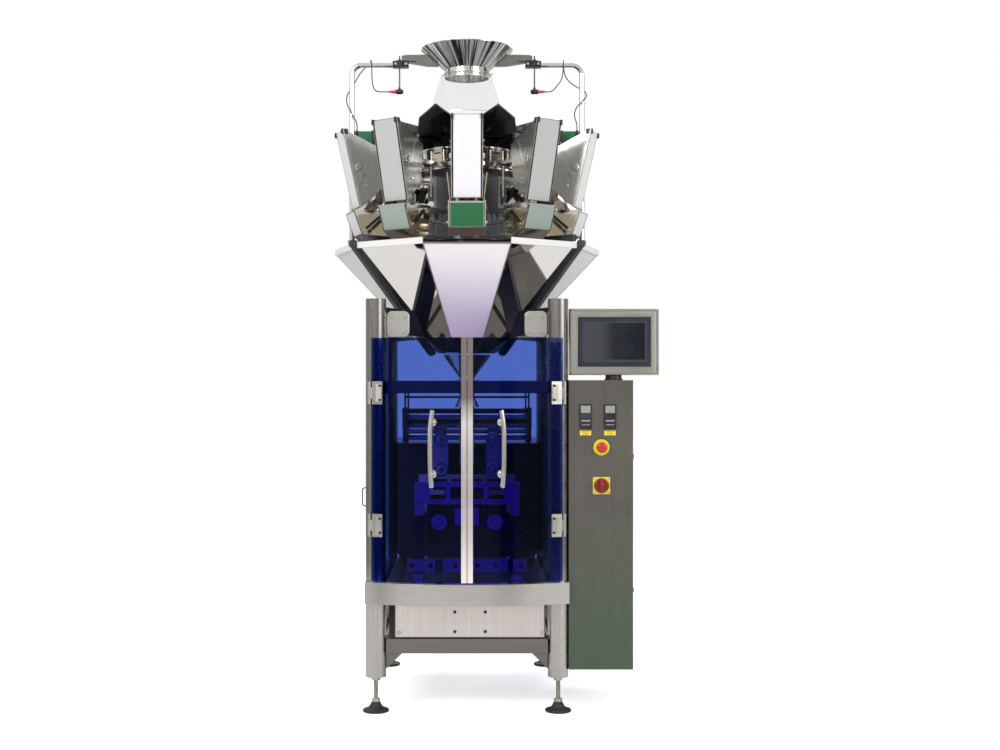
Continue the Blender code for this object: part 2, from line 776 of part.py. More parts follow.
def vertical_sealer():
    """The heated bar before the tube, on a stem that runs in the hanger's bush."""
    bar = block((-SEALER_HALF_WIDTH, SEALER_HALF_WIDTH), SEALER_Y, SEALER_Z)
    stem_end = (0, UPPER_FRONT_BAR_Y - 0.040, SEALER_STEM_Z)
    stem = rod((0, SEALER_Y[0] + 0.006, SEALER_STEM_Z), stem_end, SEALER_STEM_RADIUS, 16)
    stop_end = (0, UPPER_FRONT_BAR_Y - 0.048, SEALER_STEM_Z)
    stop = rod((0, UPPER_FRONT_BAR_Y - 0.036, SEALER_STEM_Z), stop_end, SEALER_STEM_RADIUS * 1.7, 16)
    return joined(bar, stem, stop)


def jaw_guide_frame():
    """The guide rods of the jaws, their end uprights, the foot bars and the front plates."""
    pieces = []
    end_in = GUIDE_END_Y - GUIDE_UPRIGHT
    foot_z = (SILL_RING_Z[1] + GAP, SILL_RING_Z[1] + GAP + GUIDE_FOOT_HEIGHT)
    upright_z = (foot_z[0], GUIDE_Z + GUIDE_RADIUS * 2)
    for sign in (-1, 1):
        x = sign * GUIDE_X
        foot_y = (POST_FRONT_Y - 0.010, POST_REAR_Y + 0.010)
        pieces.append(block((x - 0.020, x + 0.020), foot_y, foot_z))
        pieces.append(rod((x, -GUIDE_END_Y, GUIDE_Z), (x, GUIDE_END_Y, GUIDE_Z), GUIDE_RADIUS, 12))
        for end in (-1, 1):
            pieces.append(block((x - 0.020, x + 0.020), (end * end_in, end * GUIDE_END_Y), upright_z))
    for end in (-1, 1):
        plate_y = (end * (GUIDE_END_Y - 0.012), end * GUIDE_END_Y)
        pieces.append(block((-LOWER_PLATE_HALF, LOWER_PLATE_HALF), plate_y, LOWER_PLATE_Z))
    front = -GUIDE_END_Y
    pieces.append(block((-GUIDE_X, GUIDE_X), (front + 0.004, front + 0.016), (GUIDE_Z - 0.020, GUIDE_Z)))
    actuator_y = (front - 0.006, front + 0.032)
    pieces.append(block((-ACTUATOR_HALF, ACTUATOR_HALF), actuator_y, ACTUATOR_Z))
    for sign in (-1, 1):
        x = sign * BOSS_X
        boss_z = GUIDE_Z - 0.008
        pieces.append(rod((x, front - 0.004, boss_z), (x, front + 0.012, boss_z), PULLEY_RADIUS, 16))
    return joined(*pieces)


def jaw(end):
    """A sealing jaw: cross head, two rods and the seal bar, on blocks that run on the guides."""
    plate_y = (end * JAW_PLATE_Y, end * (JAW_PLATE_Y + JAW_PLATE_THICKNESS))
    plate = block((-JAW_PLATE_HALF, JAW_PLATE_HALF), plate_y, JAW_PLATE_Z)
    windows = []
    window_z = (JAW_PLATE_Z[0] + JAW_RAIL, JAW_PLATE_Z[1] - JAW_RAIL)
    for low_x, high_x in JAW_WINDOWS:
        windows.append(block((low_x, high_x), (plate_y[0] - 0.05, plate_y[1] + 0.05), window_z))
    plate = cut(plate, *windows)
    pieces = [plate]
    middle_z = sum(JAW_PLATE_Z) / 2
    bar_y = (end * JAW_OPEN, end * (JAW_OPEN + JAW_BAR_DEPTH))
    pieces.append(block((-JAW_BAR_HALF, JAW_BAR_HALF), bar_y, (middle_z - 0.022, middle_z + 0.022)))
    for sign in (-1, 1):
        x = sign * JAW_ROD_X
        start = (x, end * (JAW_OPEN + JAW_BAR_DEPTH - 0.01), middle_z)
        pieces.append(rod(start, (x, end * (JAW_PLATE_Y + 0.004), middle_z), JAW_ROD_RADIUS, 12))
        block_x = (sign * (GUIDE_X - 0.017), sign * (GUIDE_X + 0.017))
        block_y = (end * (JAW_PLATE_Y - JAW_BLOCK_DEPTH + JAW_PLATE_THICKNESS), plate_y[1])
        pieces.append(block(block_x, block_y, (GUIDE_Z - GUIDE_RADIUS * 2, JAW_PLATE_Z[0] + 0.004)))
    made = joined(*pieces)
    bores = []
    for sign in (-1, 1):
        start = (sign * GUIDE_X, end * (JAW_PLATE_Y - 0.06), GUIDE_Z)
        finish = (sign * GUIDE_X, end * (JAW_PLATE_Y + 0.04), GUIDE_Z)
        bores.append(rod(start, finish, GUIDE_RADIUS + RUNNING, 12))
    return cut(made, *bores)


def rear_casing():
    """The drive's casing at the back, open below, with the two brackets for the film's shaft."""
    z_range = (SILL_RING_Z[1] + GUIDE_FOOT_HEIGHT + GAP * 2, CASING_TOP)
    shell = block((-CASING_HALF, CASING_HALF), CASING_Y, z_range)
    brackets = []
    for sign in (-1, 1):
        x_range = (sign * (BRACKET_X - BRACKET_THICKNESS / 2), sign * (BRACKET_X + BRACKET_THICKNESS / 2))
        brackets.append(block(x_range, (CASING_Y[1] - 0.001, BRACKET_END_Y), BRACKET_Z))
    shell = joined(shell, *brackets)
    inside = block(
        (-CASING_HALF + CASING_WALL, CASING_HALF - CASING_WALL),
        (CASING_Y[0] + CASING_WALL, CASING_Y[1] - CASING_WALL),
        (z_range[0] - 0.01, CASING_TOP - CASING_WALL),
    )
    slot = SHAFT_RADIUS + RUNNING
    seat = rod((-0.4, SHAFT_Y, SHAFT_Z), (0.4, SHAFT_Y, SHAFT_Z), slot, 16)
    way_in = block((-0.4, 0.4), (SHAFT_Y - slot * 0.98, SHAFT_Y + slot * 0.98), (SHAFT_Z, SHAFT_Z + 0.1))
    return cut(shell, inside, joined(seat, way_in))


def film_shaft():
    """The bar that a film roll hangs on, with its two centring chucks."""
    chuck = 0.030
    half_profile = [
        (SHAFT_RADIUS, SHAFT_HALF),
        (SHAFT_RADIUS, CHUCK_X + chuck / 2),
        (CHUCK_RADIUS, CHUCK_X + chuck / 2),
        (CHUCK_RADIUS * 0.8, CHUCK_X - chuck / 2),
        (SHAFT_RADIUS, CHUCK_X - chuck / 2),
    ]
    other = [(radius, -height) for radius, height in reversed(half_profile)]
    profile = [(0.0, SHAFT_HALF)] + half_profile + other + [(0.0, -SHAFT_HALF)]
    return turned(profile, 16, centre=(0.0, SHAFT_Y, SHAFT_Z), along="X")


# ---------------------------------------------------------------- doors
def door(side):
    """A bowed clear sheet with its meeting strip and the moving halves of its two hinges."""
    outer_x = DOOR_HALF_SPAN
    back = bow_arc(DOOR_HALF_SPAN, DOOR_BACK_Y, DOOR_BOW, 8, DOOR_MEET, outer_x)
    front = [(x, y - DOOR_SHEET) for x, y in back]
    sheet = prism(back + front[::-1], *DOOR_Z)
    strip_y = DOOR_BACK_Y - DOOR_SHEET + 0.001
    strip_back = bow_arc(DOOR_HALF_SPAN, strip_y, DOOR_BOW, 2, DOOR_MEET, STRIP_WIDTH)
    strip_front = [(x, y - STRIP_THICKNESS - 0.001) for x, y in strip_back]
    strip = prism(strip_back + strip_front[::-1], DOOR_Z[0], DOOR_Z[1])
    pieces = [sheet, strip]
    axis_x, axis_y = HINGE_AXIS
    for height in HINGE_Z:
        middle = HINGE_HEIGHT / 4 - RUNNING
        foot, head = (axis_x, axis_y, height - middle), (axis_x, axis_y, height + middle)
        barrel = rod(foot, head, HINGE_BARREL, BARREL_SIDES)
        leaf_back = bow_front(outer_x - HINGE_LEAF) - DOOR_SHEET + 0.001
        leaf = prism(
            [
                (outer_x - HINGE_LEAF, leaf_back),
                (outer_x - 0.004, DOOR_BACK_Y - DOOR_SHEET + 0.001),
                (axis_x, axis_y),
                (axis_x, axis_y - HINGE_BARREL * 0.8),
                (outer_x - 0.004, axis_y - HINGE_BARREL * 1.1),
                (outer_x - HINGE_LEAF, leaf_back - 0.005),
            ],
            height - middle,
            height + middle,
        )
        plate = prism(
            [
                (outer_x - HINGE_LEAF, leaf_back),
                (outer_x - 0.003, DOOR_BACK_Y - DOOR_SHEET + 0.001),
                (outer_x - 0.003, axis_y - HINGE_BARREL * 1.1),
                (outer_x - HINGE_LEAF, leaf_back - 0.005),
            ],
            height - HINGE_HEIGHT / 2,
            height + HINGE_HEIGHT / 2,
        )
        hinge = joined(barrel, leaf, plate)
        bore_reach = HINGE_HEIGHT
        bore = rod(
            (axis_x, axis_y, height - bore_reach),
            (axis_x, axis_y, height + bore_reach),
            HINGE_PIN + RUNNING,
            8,
        )
        pieces.append(cut(hinge, bore))
    made = joined(*pieces)
    return made if side == "right" else mirrored(made)


def door_handle(side):
    """A bent bar on two round standoffs."""
    low, high = HANDLE_Z
    kink_low, kink_high = HANDLE_KINKS
    route = [
        (HANDLE_X + HANDLE_SWAY, low),
        (HANDLE_X - HANDLE_SWAY, kink_low + 0.012),
        (HANDLE_X - HANDLE_SWAY, kink_low + 0.045),
        (HANDLE_X + HANDLE_SWAY, kink_high - 0.045),
        (HANDLE_X + HANDLE_SWAY, kink_high - 0.012),
        (HANDLE_X - HANDLE_SWAY, high),
    ]
    bar = meshed(swept([(x, HANDLE_Y, z) for x, z in route], HANDLE_RADIUS, 2))
    pieces = [bar]
    for z in HANDLE_KINKS:
        seat_y = bow_front(HANDLE_X + STANDOFF_RADIUS) - DOOR_SHEET - 0.003
        pieces.append(rod((HANDLE_X, seat_y - 0.012, z), (HANDLE_X, HANDLE_Y, z), 0.007, 12))
    made = joined(*pieces)
    bosses = []
    for z in HANDLE_KINKS:
        near = bow_front(HANDLE_X - STANDOFF_RADIUS) - DOOR_SHEET - GAP
        bosses.append(rod((HANDLE_X, near, z), (HANDLE_X, near - 0.014, z), STANDOFF_RADIUS, 16))
    made = joined(made, *bosses)
    return made if side == "right" else mirrored(made)


# ---------------------------------------------------------------- cabinet and controls
def cabinet():
    """The control cabinet, a folded shell open below, with its holes for the controls."""
    right = CABINET_LEFT + CABINET_WIDTH
    front, rear = CABINET_Y
    shell = block((CABINET_LEFT, right), CABINET_Y, CABINET_Z)
    inside = block(
        (CABINET_LEFT + CABINET_WALL, right - CABINET_WALL),
        (front + CABINET_WALL, rear - CABINET_WALL),
        (CABINET_Z[0] - 0.01, CABINET_Z[1] - CABINET_WALL),
    )
    cutters = [inside]
    for offset in CONTROLLER_X:
        x = CABINET_LEFT + offset
        half = CONTROLLER_WIDTH / 2 - 0.002
        body_z = (CONTROLLER_Z[0] + 0.002, CONTROLLER_Z[1] - 0.002)
        cutters.append(block((x - half, x + half), (front - 0.01, front + 0.01), body_z))
    x = CABINET_LEFT + KNOB_X
    holes = ((ESTOP_Z, ESTOP_STEM + RUNNING), (SWITCH_Z, SWITCH_STEM + RUNNING))
    for z, radius in holes:
        cutters.append(rod((x, front - 0.01, z), (x, front + 0.01, z), radius, 16))
    return cut(shell, *cutters)


def controller(offset):
    """A panel instrument: a bezel on the cabinet's face and a body through its cut-out."""
    x = CABINET_LEFT + offset
    front = CABINET_Y[0]
    half = CONTROLLER_WIDTH / 2
    bezel_y = (front - CONTROLLER_PROUD, front - GAP)
    bezel = block((x - half, x + half), bezel_y, CONTROLLER_Z)
    body_half = half - 0.002 - GAP
    body_z = (CONTROLLER_Z[0] + 0.002 + GAP, CONTROLLER_Z[1] - 0.002 - GAP)
    body = block((x - body_half, x + body_half), (front - 0.003, front + CONTROLLER_DEPTH), body_z)
    return joined(bezel, body)


def estop_collar():
    front = CABINET_Y[0] - GAP
    inner = ESTOP_STEM + RUNNING
    return turned(
        [
            (ESTOP_COLLAR, 0.0),
            (ESTOP_COLLAR - 0.002, -ESTOP_COLLAR_THICKNESS),
            (inner, -ESTOP_COLLAR_THICKNESS),
            (inner, 0.0),
        ],
        BUTTON_SIDES,
        centre=(CABINET_LEFT + KNOB_X, front, ESTOP_Z),
        along="Y",
    )


def estop_button():
    """A mushroom head on a stem, clear of its collar by its travel."""
    front = CABINET_Y[0] - GAP
    head = -ESTOP_COLLAR_THICKNESS - ESTOP_TRAVEL - 0.001
    return turned(
        [
            (0.0, head - 0.018),
            (ESTOP_HEAD * 0.7, head - 0.017),
            (ESTOP_HEAD, head - 0.011),
            (ESTOP_HEAD, head - 0.004),
            (ESTOP_STEM, head),
            (ESTOP_STEM, CABINET_WALL + 0.030),
            (0.0, CABINET_WALL + 0.030),
        ],
        BUTTON_SIDES,
        centre=(CABINET_LEFT + KNOB_X, front, ESTOP_Z),
        along="Y",
    )


def switch_plate():
    x = CABINET_LEFT + KNOB_X
    half = SWITCH_PLATE / 2
    front = CABINET_Y[0] - GAP
    plate_y = (front - SWITCH_PLATE_THICKNESS, front)
    plate = block((x - half, x + half), plate_y, (SWITCH_Z - half, SWITCH_Z + half))
    start, end = (x, front - 0.02, SWITCH_Z), (x, front + 0.02, SWITCH_Z)
    return cut(plate, rod(start, end, SWITCH_STEM + RUNNING, 16))


def switch_knob():
    """A round knob with an upright grip across it, on a stem through the plate."""
    x = CABINET_LEFT + KNOB_X
    seat = CABINET_Y[0] - GAP * 2 - SWITCH_PLATE_THICKNESS
    disc = rod((x, seat, SWITCH_Z), (x, seat - 0.010, SWITCH_Z), SWITCH_KNOB, BUTTON_SIDES)
    grip_z = (SWITCH_Z - SWITCH_KNOB * 0.86, SWITCH_Z + SWITCH_KNOB * 0.86)
    grip = block((x - 0.007, x + 0.007), (seat - 0.005, seat - 0.026), grip_z)
    stem = rod((x, seat - 0.005, SWITCH_Z), (x, CABINET_Y[0] + 0.030, SWITCH_Z), SWITCH_STEM, 16)
    return joined(disc, grip, stem)


def hmi_pivot():
    base = CABINET_Z[1] + GAP
    return turned(
        [
            (0.0, base + PIVOT_HEIGHT),
            (PIVOT_RADIUS * 0.9, base + PIVOT_HEIGHT),
            (PIVOT_RADIUS * 0.9, base + 0.006),
            (PIVOT_RADIUS, base + 0.006),
            (PIVOT_RADIUS, base),
            (0.0, base),
        ],
        BUTTON_SIDES,
        centre=(PIVOT_X, PIVOT_Y, 0.0),
    )


def hmi_bottom():
    return CABINET_Z[1] + 2 * GAP + PIVOT_HEIGHT


def rounded_plan(half_x, half_y, radius):
    outline = []
    for turn, (sign_x, sign_y) in enumerate(((1, 1), (-1, 1), (-1, -1), (1, -1))):
        centre = (PIVOT_X + sign_x * (half_x - radius), PIVOT_Y + sign_y * (half_y - radius))
        outline += arc(centre, radius, turn * math.pi / 2, (turn + 1) * math.pi / 2, 3)
    return outline


def hmi_housing():
    """The screen's case: a shell with round upright edges, open where the screen sits."""
    low = hmi_bottom()
    high = low + HMI_HEIGHT
    half_x, half_y = HMI_WIDTH / 2, HMI_DEPTH / 2
    case = prism(rounded_plan(half_x, half_y, HMI_CORNER), low, high)
    inner = prism(
        rounded_plan(half_x - HMI_WALL, half_y - HMI_WALL, HMI_CORNER - HMI_WALL),
        low + HMI_WALL,
        high - HMI_WALL,
    )
    middle = (low + high) / 2
    window = block(
        (PIVOT_X - SCREEN_WIDTH / 2, PIVOT_X + SCREEN_WIDTH / 2),
        (PIVOT_Y - half_y - 0.01, PIVOT_Y - half_y + 0.01),
        (middle - SCREEN_HEIGHT / 2, middle + SCREEN_HEIGHT / 2),
    )
    return cut(case, inner, window)


def hmi_screen():
    """The touch screen: a bezel block that fills the window and stands a little proud."""
    middle = hmi_bottom() + HMI_HEIGHT / 2
    half_x = SCREEN_WIDTH / 2 - GAP
    half_z = SCREEN_HEIGHT / 2 - GAP
    front = PIVOT_Y - HMI_DEPTH / 2 - SCREEN_PROUD
    across = (PIVOT_X - half_x, PIVOT_X + half_x)
    return block(across, (front, front + 0.034), (middle - half_z, middle + half_z))


# ---------------------------------------------------------------- weigher
def decagon(profile, centre=(0.0, 0.0, 0.0)):
    """A ten-sided turned shell whose panels, not its corners, face the front and the heads."""
    corners = [(radius * CORNER, height) for radius, height in profile]
    return turned(corners, HEADS, centre=centre, start=-math.pi / 2 + HALF_SECTOR)


def discharge_funnel():
    """Ten sloping panels that gather the product, a mouth below, and a lip on eight panels."""
    wall = FUNNEL_WALL * 1.4
    shell = decagon(
        [
            FUNNEL_TOP,
            FUNNEL_WAIST,
            FUNNEL_MOUTH,
            (FUNNEL_MOUTH[0] - FUNNEL_WALL, FUNNEL_MOUTH[1] + 0.001),
            (FUNNEL_WAIST[0] - wall, FUNNEL_WAIST[1] + 0.001),
            (FUNNEL_TOP[0] - wall, FUNNEL_TOP[1]),
        ]
    )
    half_side = FUNNEL_TOP[0] * math.tan(HALF_SECTOR)
    lips = []
    for head in range(HEADS):
        if head in (0, HEADS // 2):
            continue
        outer = FUNNEL_TOP[0] - 0.0005
        lip = block(
            (-half_side + 0.012, half_side - 0.012),
            (-outer, -outer + LIP_THICKNESS),
            (FUNNEL_TOP[1] - 0.004, LIP_TOP),
        )
        lips.append(around(lip, head * 2 * HALF_SECTOR))
    return joined(shell, *lips)


def funnel_corner(z):
    """Radius of the funnel's corner line at a height between its waist and its top."""
    share = (z - FUNNEL_WAIST[1]) / (FUNNEL_TOP[1] - FUNNEL_WAIST[1])
    return (FUNNEL_WAIST[0] + share * (FUNNEL_TOP[0] - FUNNEL_WAIST[0])) * CORNER


def weigher_support():
    """The hub under the weigher, its spokes, and the struts and arms that bring it to the posts."""
    hub = turned(
        [(0.0, HUB_Z[1]), (HUB_RADIUS, HUB_Z[1]), (HUB_RADIUS, HUB_Z[0]), (0.0, HUB_Z[0])], 20
    )
    pieces = [hub]
    slope = (FUNNEL_TOP[0] - FUNNEL_WAIST[0]) * CORNER / (FUNNEL_TOP[1] - FUNNEL_WAIST[1])
    aside = (STRUT_DEPTH / 2 + STRUT_CLEAR) * math.sqrt(1 + slope ** 2)
    for corner_index in (1, 3, 6, 8):
        angle = (2 * corner_index + 1) * HALF_SECTOR
        direction = Vector((math.sin(angle), -math.cos(angle), 0.0))
        top_radius = funnel_corner(HUB_Z[1]) + aside
        foot_radius = funnel_corner(STRUT_FOOT_Z) + aside
        top_point = direction * top_radius + Vector((0, 0, HUB_Z[1]))
        foot_point = direction * foot_radius + Vector((0, 0, STRUT_FOOT_Z))
        strut = bar_between(foot_point, top_point, STRUT_WIDTH, STRUT_DEPTH)
        spoke_middle = Vector((0, 0, sum(HUB_Z) / 2))
        spoke_end = direction * (top_radius + 0.006) + spoke_middle
        spoke = bar_between(direction * 0.05 + spoke_middle, spoke_end, SPOKE_WIDTH, HUB_Z[1] - HUB_Z[0])
        side = 1 if direction.x > 0 else -1
        post_y = POST_FRONT_Y if direction.y < 0 else POST_REAR_Y
        post_centre = Vector((side * POST_X, post_y, 0.0))
        middle = Vector((0, 0, sum(ARM_Z) / 2))
        reach_radius = funnel_corner(ARM_Z[1]) + 0.008
        inner_end = direction * reach_radius
        towards = (inner_end - post_centre).normalized()
        outer_end = post_centre + towards * (POST_RADIUS + GAP * 2)
        arm = bar_between(outer_end + middle, inner_end + middle, ARM_THICKNESS, ARM_Z[1] - ARM_Z[0])
        pieces += [strut, spoke, arm]
    for sign in (-1, 1):
        spoke_z = sum(HUB_Z) / 2
        start = (sign * 0.05, 0.0, spoke_z)
        end = (sign * (ARM_TUBE_X + 0.018), 0.0, spoke_z)
        pieces.append(bar_between(start, end, SPOKE_WIDTH, HUB_Z[1] - HUB_Z[0]))
    return joined(*pieces)


def weigher_core():
    """The column with the drives and the drum above it."""
    return turned(
        [
            (0.0, DRUM_Z[1]),
            (DRUM_RADIUS, DRUM_Z[1]),
            (DRUM_RADIUS, DRUM_Z[0]),
            (CORE_RADIUS, DRUM_Z[0]),
            (CORE_RADIUS, CORE_Z[0]),
            (0.0, CORE_Z[0]),
        ],
        CORE_SIDES,
    )


def radial(outline, half_width):
    """An outline of (radius, height) points made into a block across the front head."""
    return prism([(-radius, height) for radius, height in outline], -half_width, half_width, along="X")


def carrier_ring(bore, z_range, reach, reach_z):
    """A ring round the core with an arm out to each head."""
    ring = turned(
        [
            (bore + RING_WALL, z_range[1]),
            (bore + RING_WALL, z_range[0]),
            (bore, z_range[0]),
            (bore, z_range[1]),
        ],
        CORE_SIDES,
    )
    arms = []
    for head in range(HEADS):
        arm = block((-0.020, 0.020), (-bore - RING_WALL / 2, -reach), reach_z)
        arms.append(around(arm, head * 2 * HALF_SECTOR))
    return joined(ring, *arms)


def feed_hopper():
    """The front head's feed hopper: a bucket open above, with a wider cover plate outside."""
    bucket = radial(FEED_OUTLINE, FEED_HALF)
    opened = inset(FEED_OUTLINE, [FEED_WALL, -0.050, FEED_WALL, FEED_WALL])
    hollow = radial(opened, FEED_HALF - FEED_WALL)
    bucket = cut(bucket, hollow)
    bottom, top = (Vector(point) for point in FEED_OUTLINE[:2])
    along = (top - bottom).normalized()
    outward = Vector((along.y, -along.x)) * 0.004
    inward = outward * -0.25
    cover_outline = [
        tuple(bottom + inward),
        tuple(top + inward),
        tuple(top + outward),
        tuple(bottom + outward),
    ]
    return joined(bucket, radial(cover_outline, COVER_HALF))


def feed_hoppers():
    """All ten feed hoppers on their carrier ring."""
    inner_edge = FEED_OUTLINE[3][0]
    pieces = [carrier_ring(DRUM_RADIUS + GAP, FEED_RING_Z, inner_edge + 0.004, FEED_RING_Z)]
    for head in range(HEADS):
        pieces.append(around(feed_hopper(), head * 2 * HALF_SECTOR))
    return joined(*pieces)


def weigh_hopper():
    """The front head's weigh hopper: open above, and in front and below where its gate sits."""
    body = radial(WEIGH_OUTLINE, WEIGH_HALF)
    opened = inset(WEIGH_OUTLINE, [-0.05, -0.05, WEIGH_WALL, WEIGH_WALL, -0.05])
    return cut(body, radial(opened, WEIGH_HALF - WEIGH_WALL))


def weigh_hoppers():
    """All ten weigh hoppers on their carrier ring."""
    pieces = [carrier_ring(CORE_RADIUS + GAP, WEIGH_RING_Z, WEIGH_OUTLINE[4][0] + 0.006, WEIGH_RING_Z)]
    for head in range(HEADS):
        pieces.append(around(weigh_hopper(), head * 2 * HALF_SECTOR))
    return joined(*pieces)


def gate_axis():
    """Radius and height of a weigh gate's hinge, just inside the hopper's front top corner."""
    inner = inset(WEIGH_OUTLINE, [GATE_BARREL + 0.001] * 5)
    return inner[0]


def weigh_gate():
    """The front head's gate: a hinge barrel, the front plate and the flap under the hopper."""
    axis_radius, axis_z = gate_axis()
    half = WEIGH_HALF - WEIGH_WALL - GATE_SIDE_CLEAR
    outer = inset(WEIGH_OUTLINE, [0.001] * 5)
    inner = inset(WEIGH_OUTLINE, [0.001 + GATE_SHEET] * 5)
    top_out = Vector(outer[0]).lerp(Vector(outer[1]), 0.07)
    top_in = Vector(inner[0]).lerp(Vector(inner[1]), 0.07)
    flap_out = Vector(outer[1]).lerp(Vector(outer[2]), 0.94)
    flap_in = Vector(inner[1]).lerp(Vector(inner[2]), 0.94)
    sheet = radial(
        [tuple(top_out), outer[1], tuple(flap_out), tuple(flap_in), inner[1], tuple(top_in)], half
    )
    barrel = rod((-half, -axis_radius, axis_z), (half, -axis_radius, axis_z), GATE_BARREL, 10)
    return joined(barrel, sheet)


def linear_feeders():
    """Ten trough pans round the cone, with a gable between each two, on legs on the drum."""
    builder = bmesh.new()
    layers = []
    for drop in (0.0, PAN_SHEET):
        stations = []
        for station, radius in enumerate((PAN_INNER, PAN_OUTER)):
            row = []
            half = PAN_HALF[station]
            for head in range(HEADS):
                middle = head * 2 * HALF_SECTOR
                peak_angle = middle - HALF_SECTOR
                row.append(
                    (radius * math.sin(peak_angle), -radius * math.cos(peak_angle), PAN_PEAK[station])
                )
                lean = half + 0.008
                for offset, height in (
                    (-lean, PAN_WALL_TOP[station]),
                    (-half, PAN_FLOOR[station]),
                    (half, PAN_FLOOR[station]),
                    (lean, PAN_WALL_TOP[station]),
                ):
                    x = radius * math.sin(middle) + offset * math.cos(middle)
                    y = -radius * math.cos(middle) + offset * math.sin(middle)
                    row.append((x, y, height))
            stations.append([builder.verts.new((x, y, z - drop)) for x, y, z in row])
        layers.append(stations)
    (top_in, top_out), (low_in, low_out) = layers
    for loops in ((top_in, top_out), (top_out, low_out), (low_out, low_in), (low_in, top_in)):
        first, second = loops
        for step in range(len(first)):
            after = (step + 1) % len(first)
            builder.faces.new([first[step], first[after], second[after], second[step]])
    bmesh.ops.triangulate(builder, faces=builder.faces)
    pans = solid(builder)
    legs = []
    for head in range(HEADS):
        leg = block(
            (-0.018, 0.018),
            (-PAN_LEG_RADIUS + 0.02, -PAN_LEG_RADIUS - 0.03),
            (DRUM_Z[1] + GAP, PAN_FLOOR[1] + 0.006),
        )
        legs.append(around(leg, head * 2 * HALF_SECTOR))
    return joined(pans, *legs)


def dispersion_cone():
    """The cone that spreads the product to the pans, on its vibrator's stem."""
    return turned(
        [
            (0.0, DISC_PEAK_Z),
            (DISC_RADIUS * 0.25, DISC_PEAK_Z - 0.012),
            (DISC_RADIUS, DISC_RIM_Z + 0.003),
            (DISC_RADIUS, DISC_RIM_Z),
            (0.040, DISC_RIM_Z + 0.006),
            (0.040, DRUM_Z[1] + DISC_SHAKE * 1.6),
            (0.0, DRUM_Z[1] + DISC_SHAKE * 1.6),
        ],
        CORE_SIDES,
    )


# ---------------------------------------------------------------- infeed
def cone_radius(z):
    share = (z - CONE_NECK[1]) / (CONE_TOP[1] - CONE_NECK[1])
    return CONE_NECK[0] + share * (CONE_TOP[0] - CONE_NECK[0])


def infeed_cone():
    wall = CONE_WALL
    return turned(
        [
            CONE_TOP,
            CONE_NECK,
            (CONE_NECK[0], CONE_END_Z),
            (CONE_NECK[0] - wall, CONE_END_Z),
            (CONE_NECK[0] - wall, CONE_NECK[1] + wall),
            (CONE_TOP[0] - wall * 1.4, CONE_TOP[1]),
        ],
        CONE_SIDES,
    )


def clear_skirt():
    """The clear cone that hangs from the infeed's neck by its inward flange."""
    wall = 0.002
    inner = CONE_NECK[0] + GAP
    return turned(
        [
            SKIRT_TOP,
            SKIRT_END,
            (SKIRT_END[0] - wall, SKIRT_END[1]),
            (SKIRT_TOP[0] - wall * 1.2, SKIRT_TOP[1] - wall),
            (inner, SKIRT_TOP[1] - wall),
            (inner, SKIRT_TOP[1]),
        ],
        CONE_SIDES,
    )


def funnel_arm(side):
    """A bent tube from the support's spoke up and in to the infeed cone, with its clamp."""
    corner = (ARM_TUBE_X - ARM_TUBE_BEND, ARM_TUBE_Z - ARM_TUBE_BEND)
    bend = arc(corner, ARM_TUBE_BEND, 0.0, math.pi / 2, 5)
    route = [(ARM_TUBE_X, HUB_Z[1] + GAP)] + bend + [(ARM_TUBE_END_X, ARM_TUBE_Z)]
    tube = meshed(swept([(x, 0.0, z) for x, z in route], ARM_TUBE_RADIUS, 2))
    low, high = CLAMP_Z
    clear = GAP * 2
    clamp = prism(
        [
            (CLAMP_OUTER_X, low + 0.002),
            (CLAMP_OUTER_X, low + 0.028),
            (cone_radius(high) + clear, high),
            (cone_radius(low) + clear, low),
        ],
        -CLAMP_HALF_WIDTH,
        CLAMP_HALF_WIDTH,
        along="Y",
    )
    gland = rod((GLAND_X, 0.0, GLAND_Z[0]), (GLAND_X, 0.0, GLAND_Z[1]), GLAND_RADIUS, 12)
    bridge = block((GLAND_X, ARM_TUBE_X), (-0.004, 0.004), (GLAND_Z[0] + 0.008, GLAND_Z[0] + 0.026))
    made = joined(tube, clamp, bridge, gland)
    return made if side == "right" else mirrored(made)


def level_sensor(side):
    """A level sensor on its rod, clamped to the arm, with the boot its lead comes out of."""
    arm_front = -ARM_TUBE_RADIUS - GAP
    clamp = block(
        (SENSOR_X - 0.010, SENSOR_X + 0.010),
        (arm_front - 0.016, arm_front),
        (ARM_TUBE_Z - 0.014, ARM_TUBE_Z + 0.014),
    )
    stem = rod((SENSOR_X, SENSOR_Y, SENSOR_Z), (SENSOR_X, SENSOR_Y, SENSOR_ROD_TOP), SENSOR_ROD_RADIUS, 8)
    body_end = SENSOR_BODY_HALF
    body = turned(
        [
            (0.0, -body_end),
            (SENSOR_BODY_RADIUS, -body_end),
            (SENSOR_BODY_RADIUS, body_end),
            (BOOT_RADII[0], body_end),
            (BOOT_RADII[1], body_end + BOOT_LENGTH),
            (0.0, body_end + BOOT_LENGTH),
        ],
        12,
        centre=(SENSOR_X, SENSOR_Y, SENSOR_Z),
        along="X",
    )
    made = joined(clamp, stem, body)
    return made if side == "right" else mirrored(made)


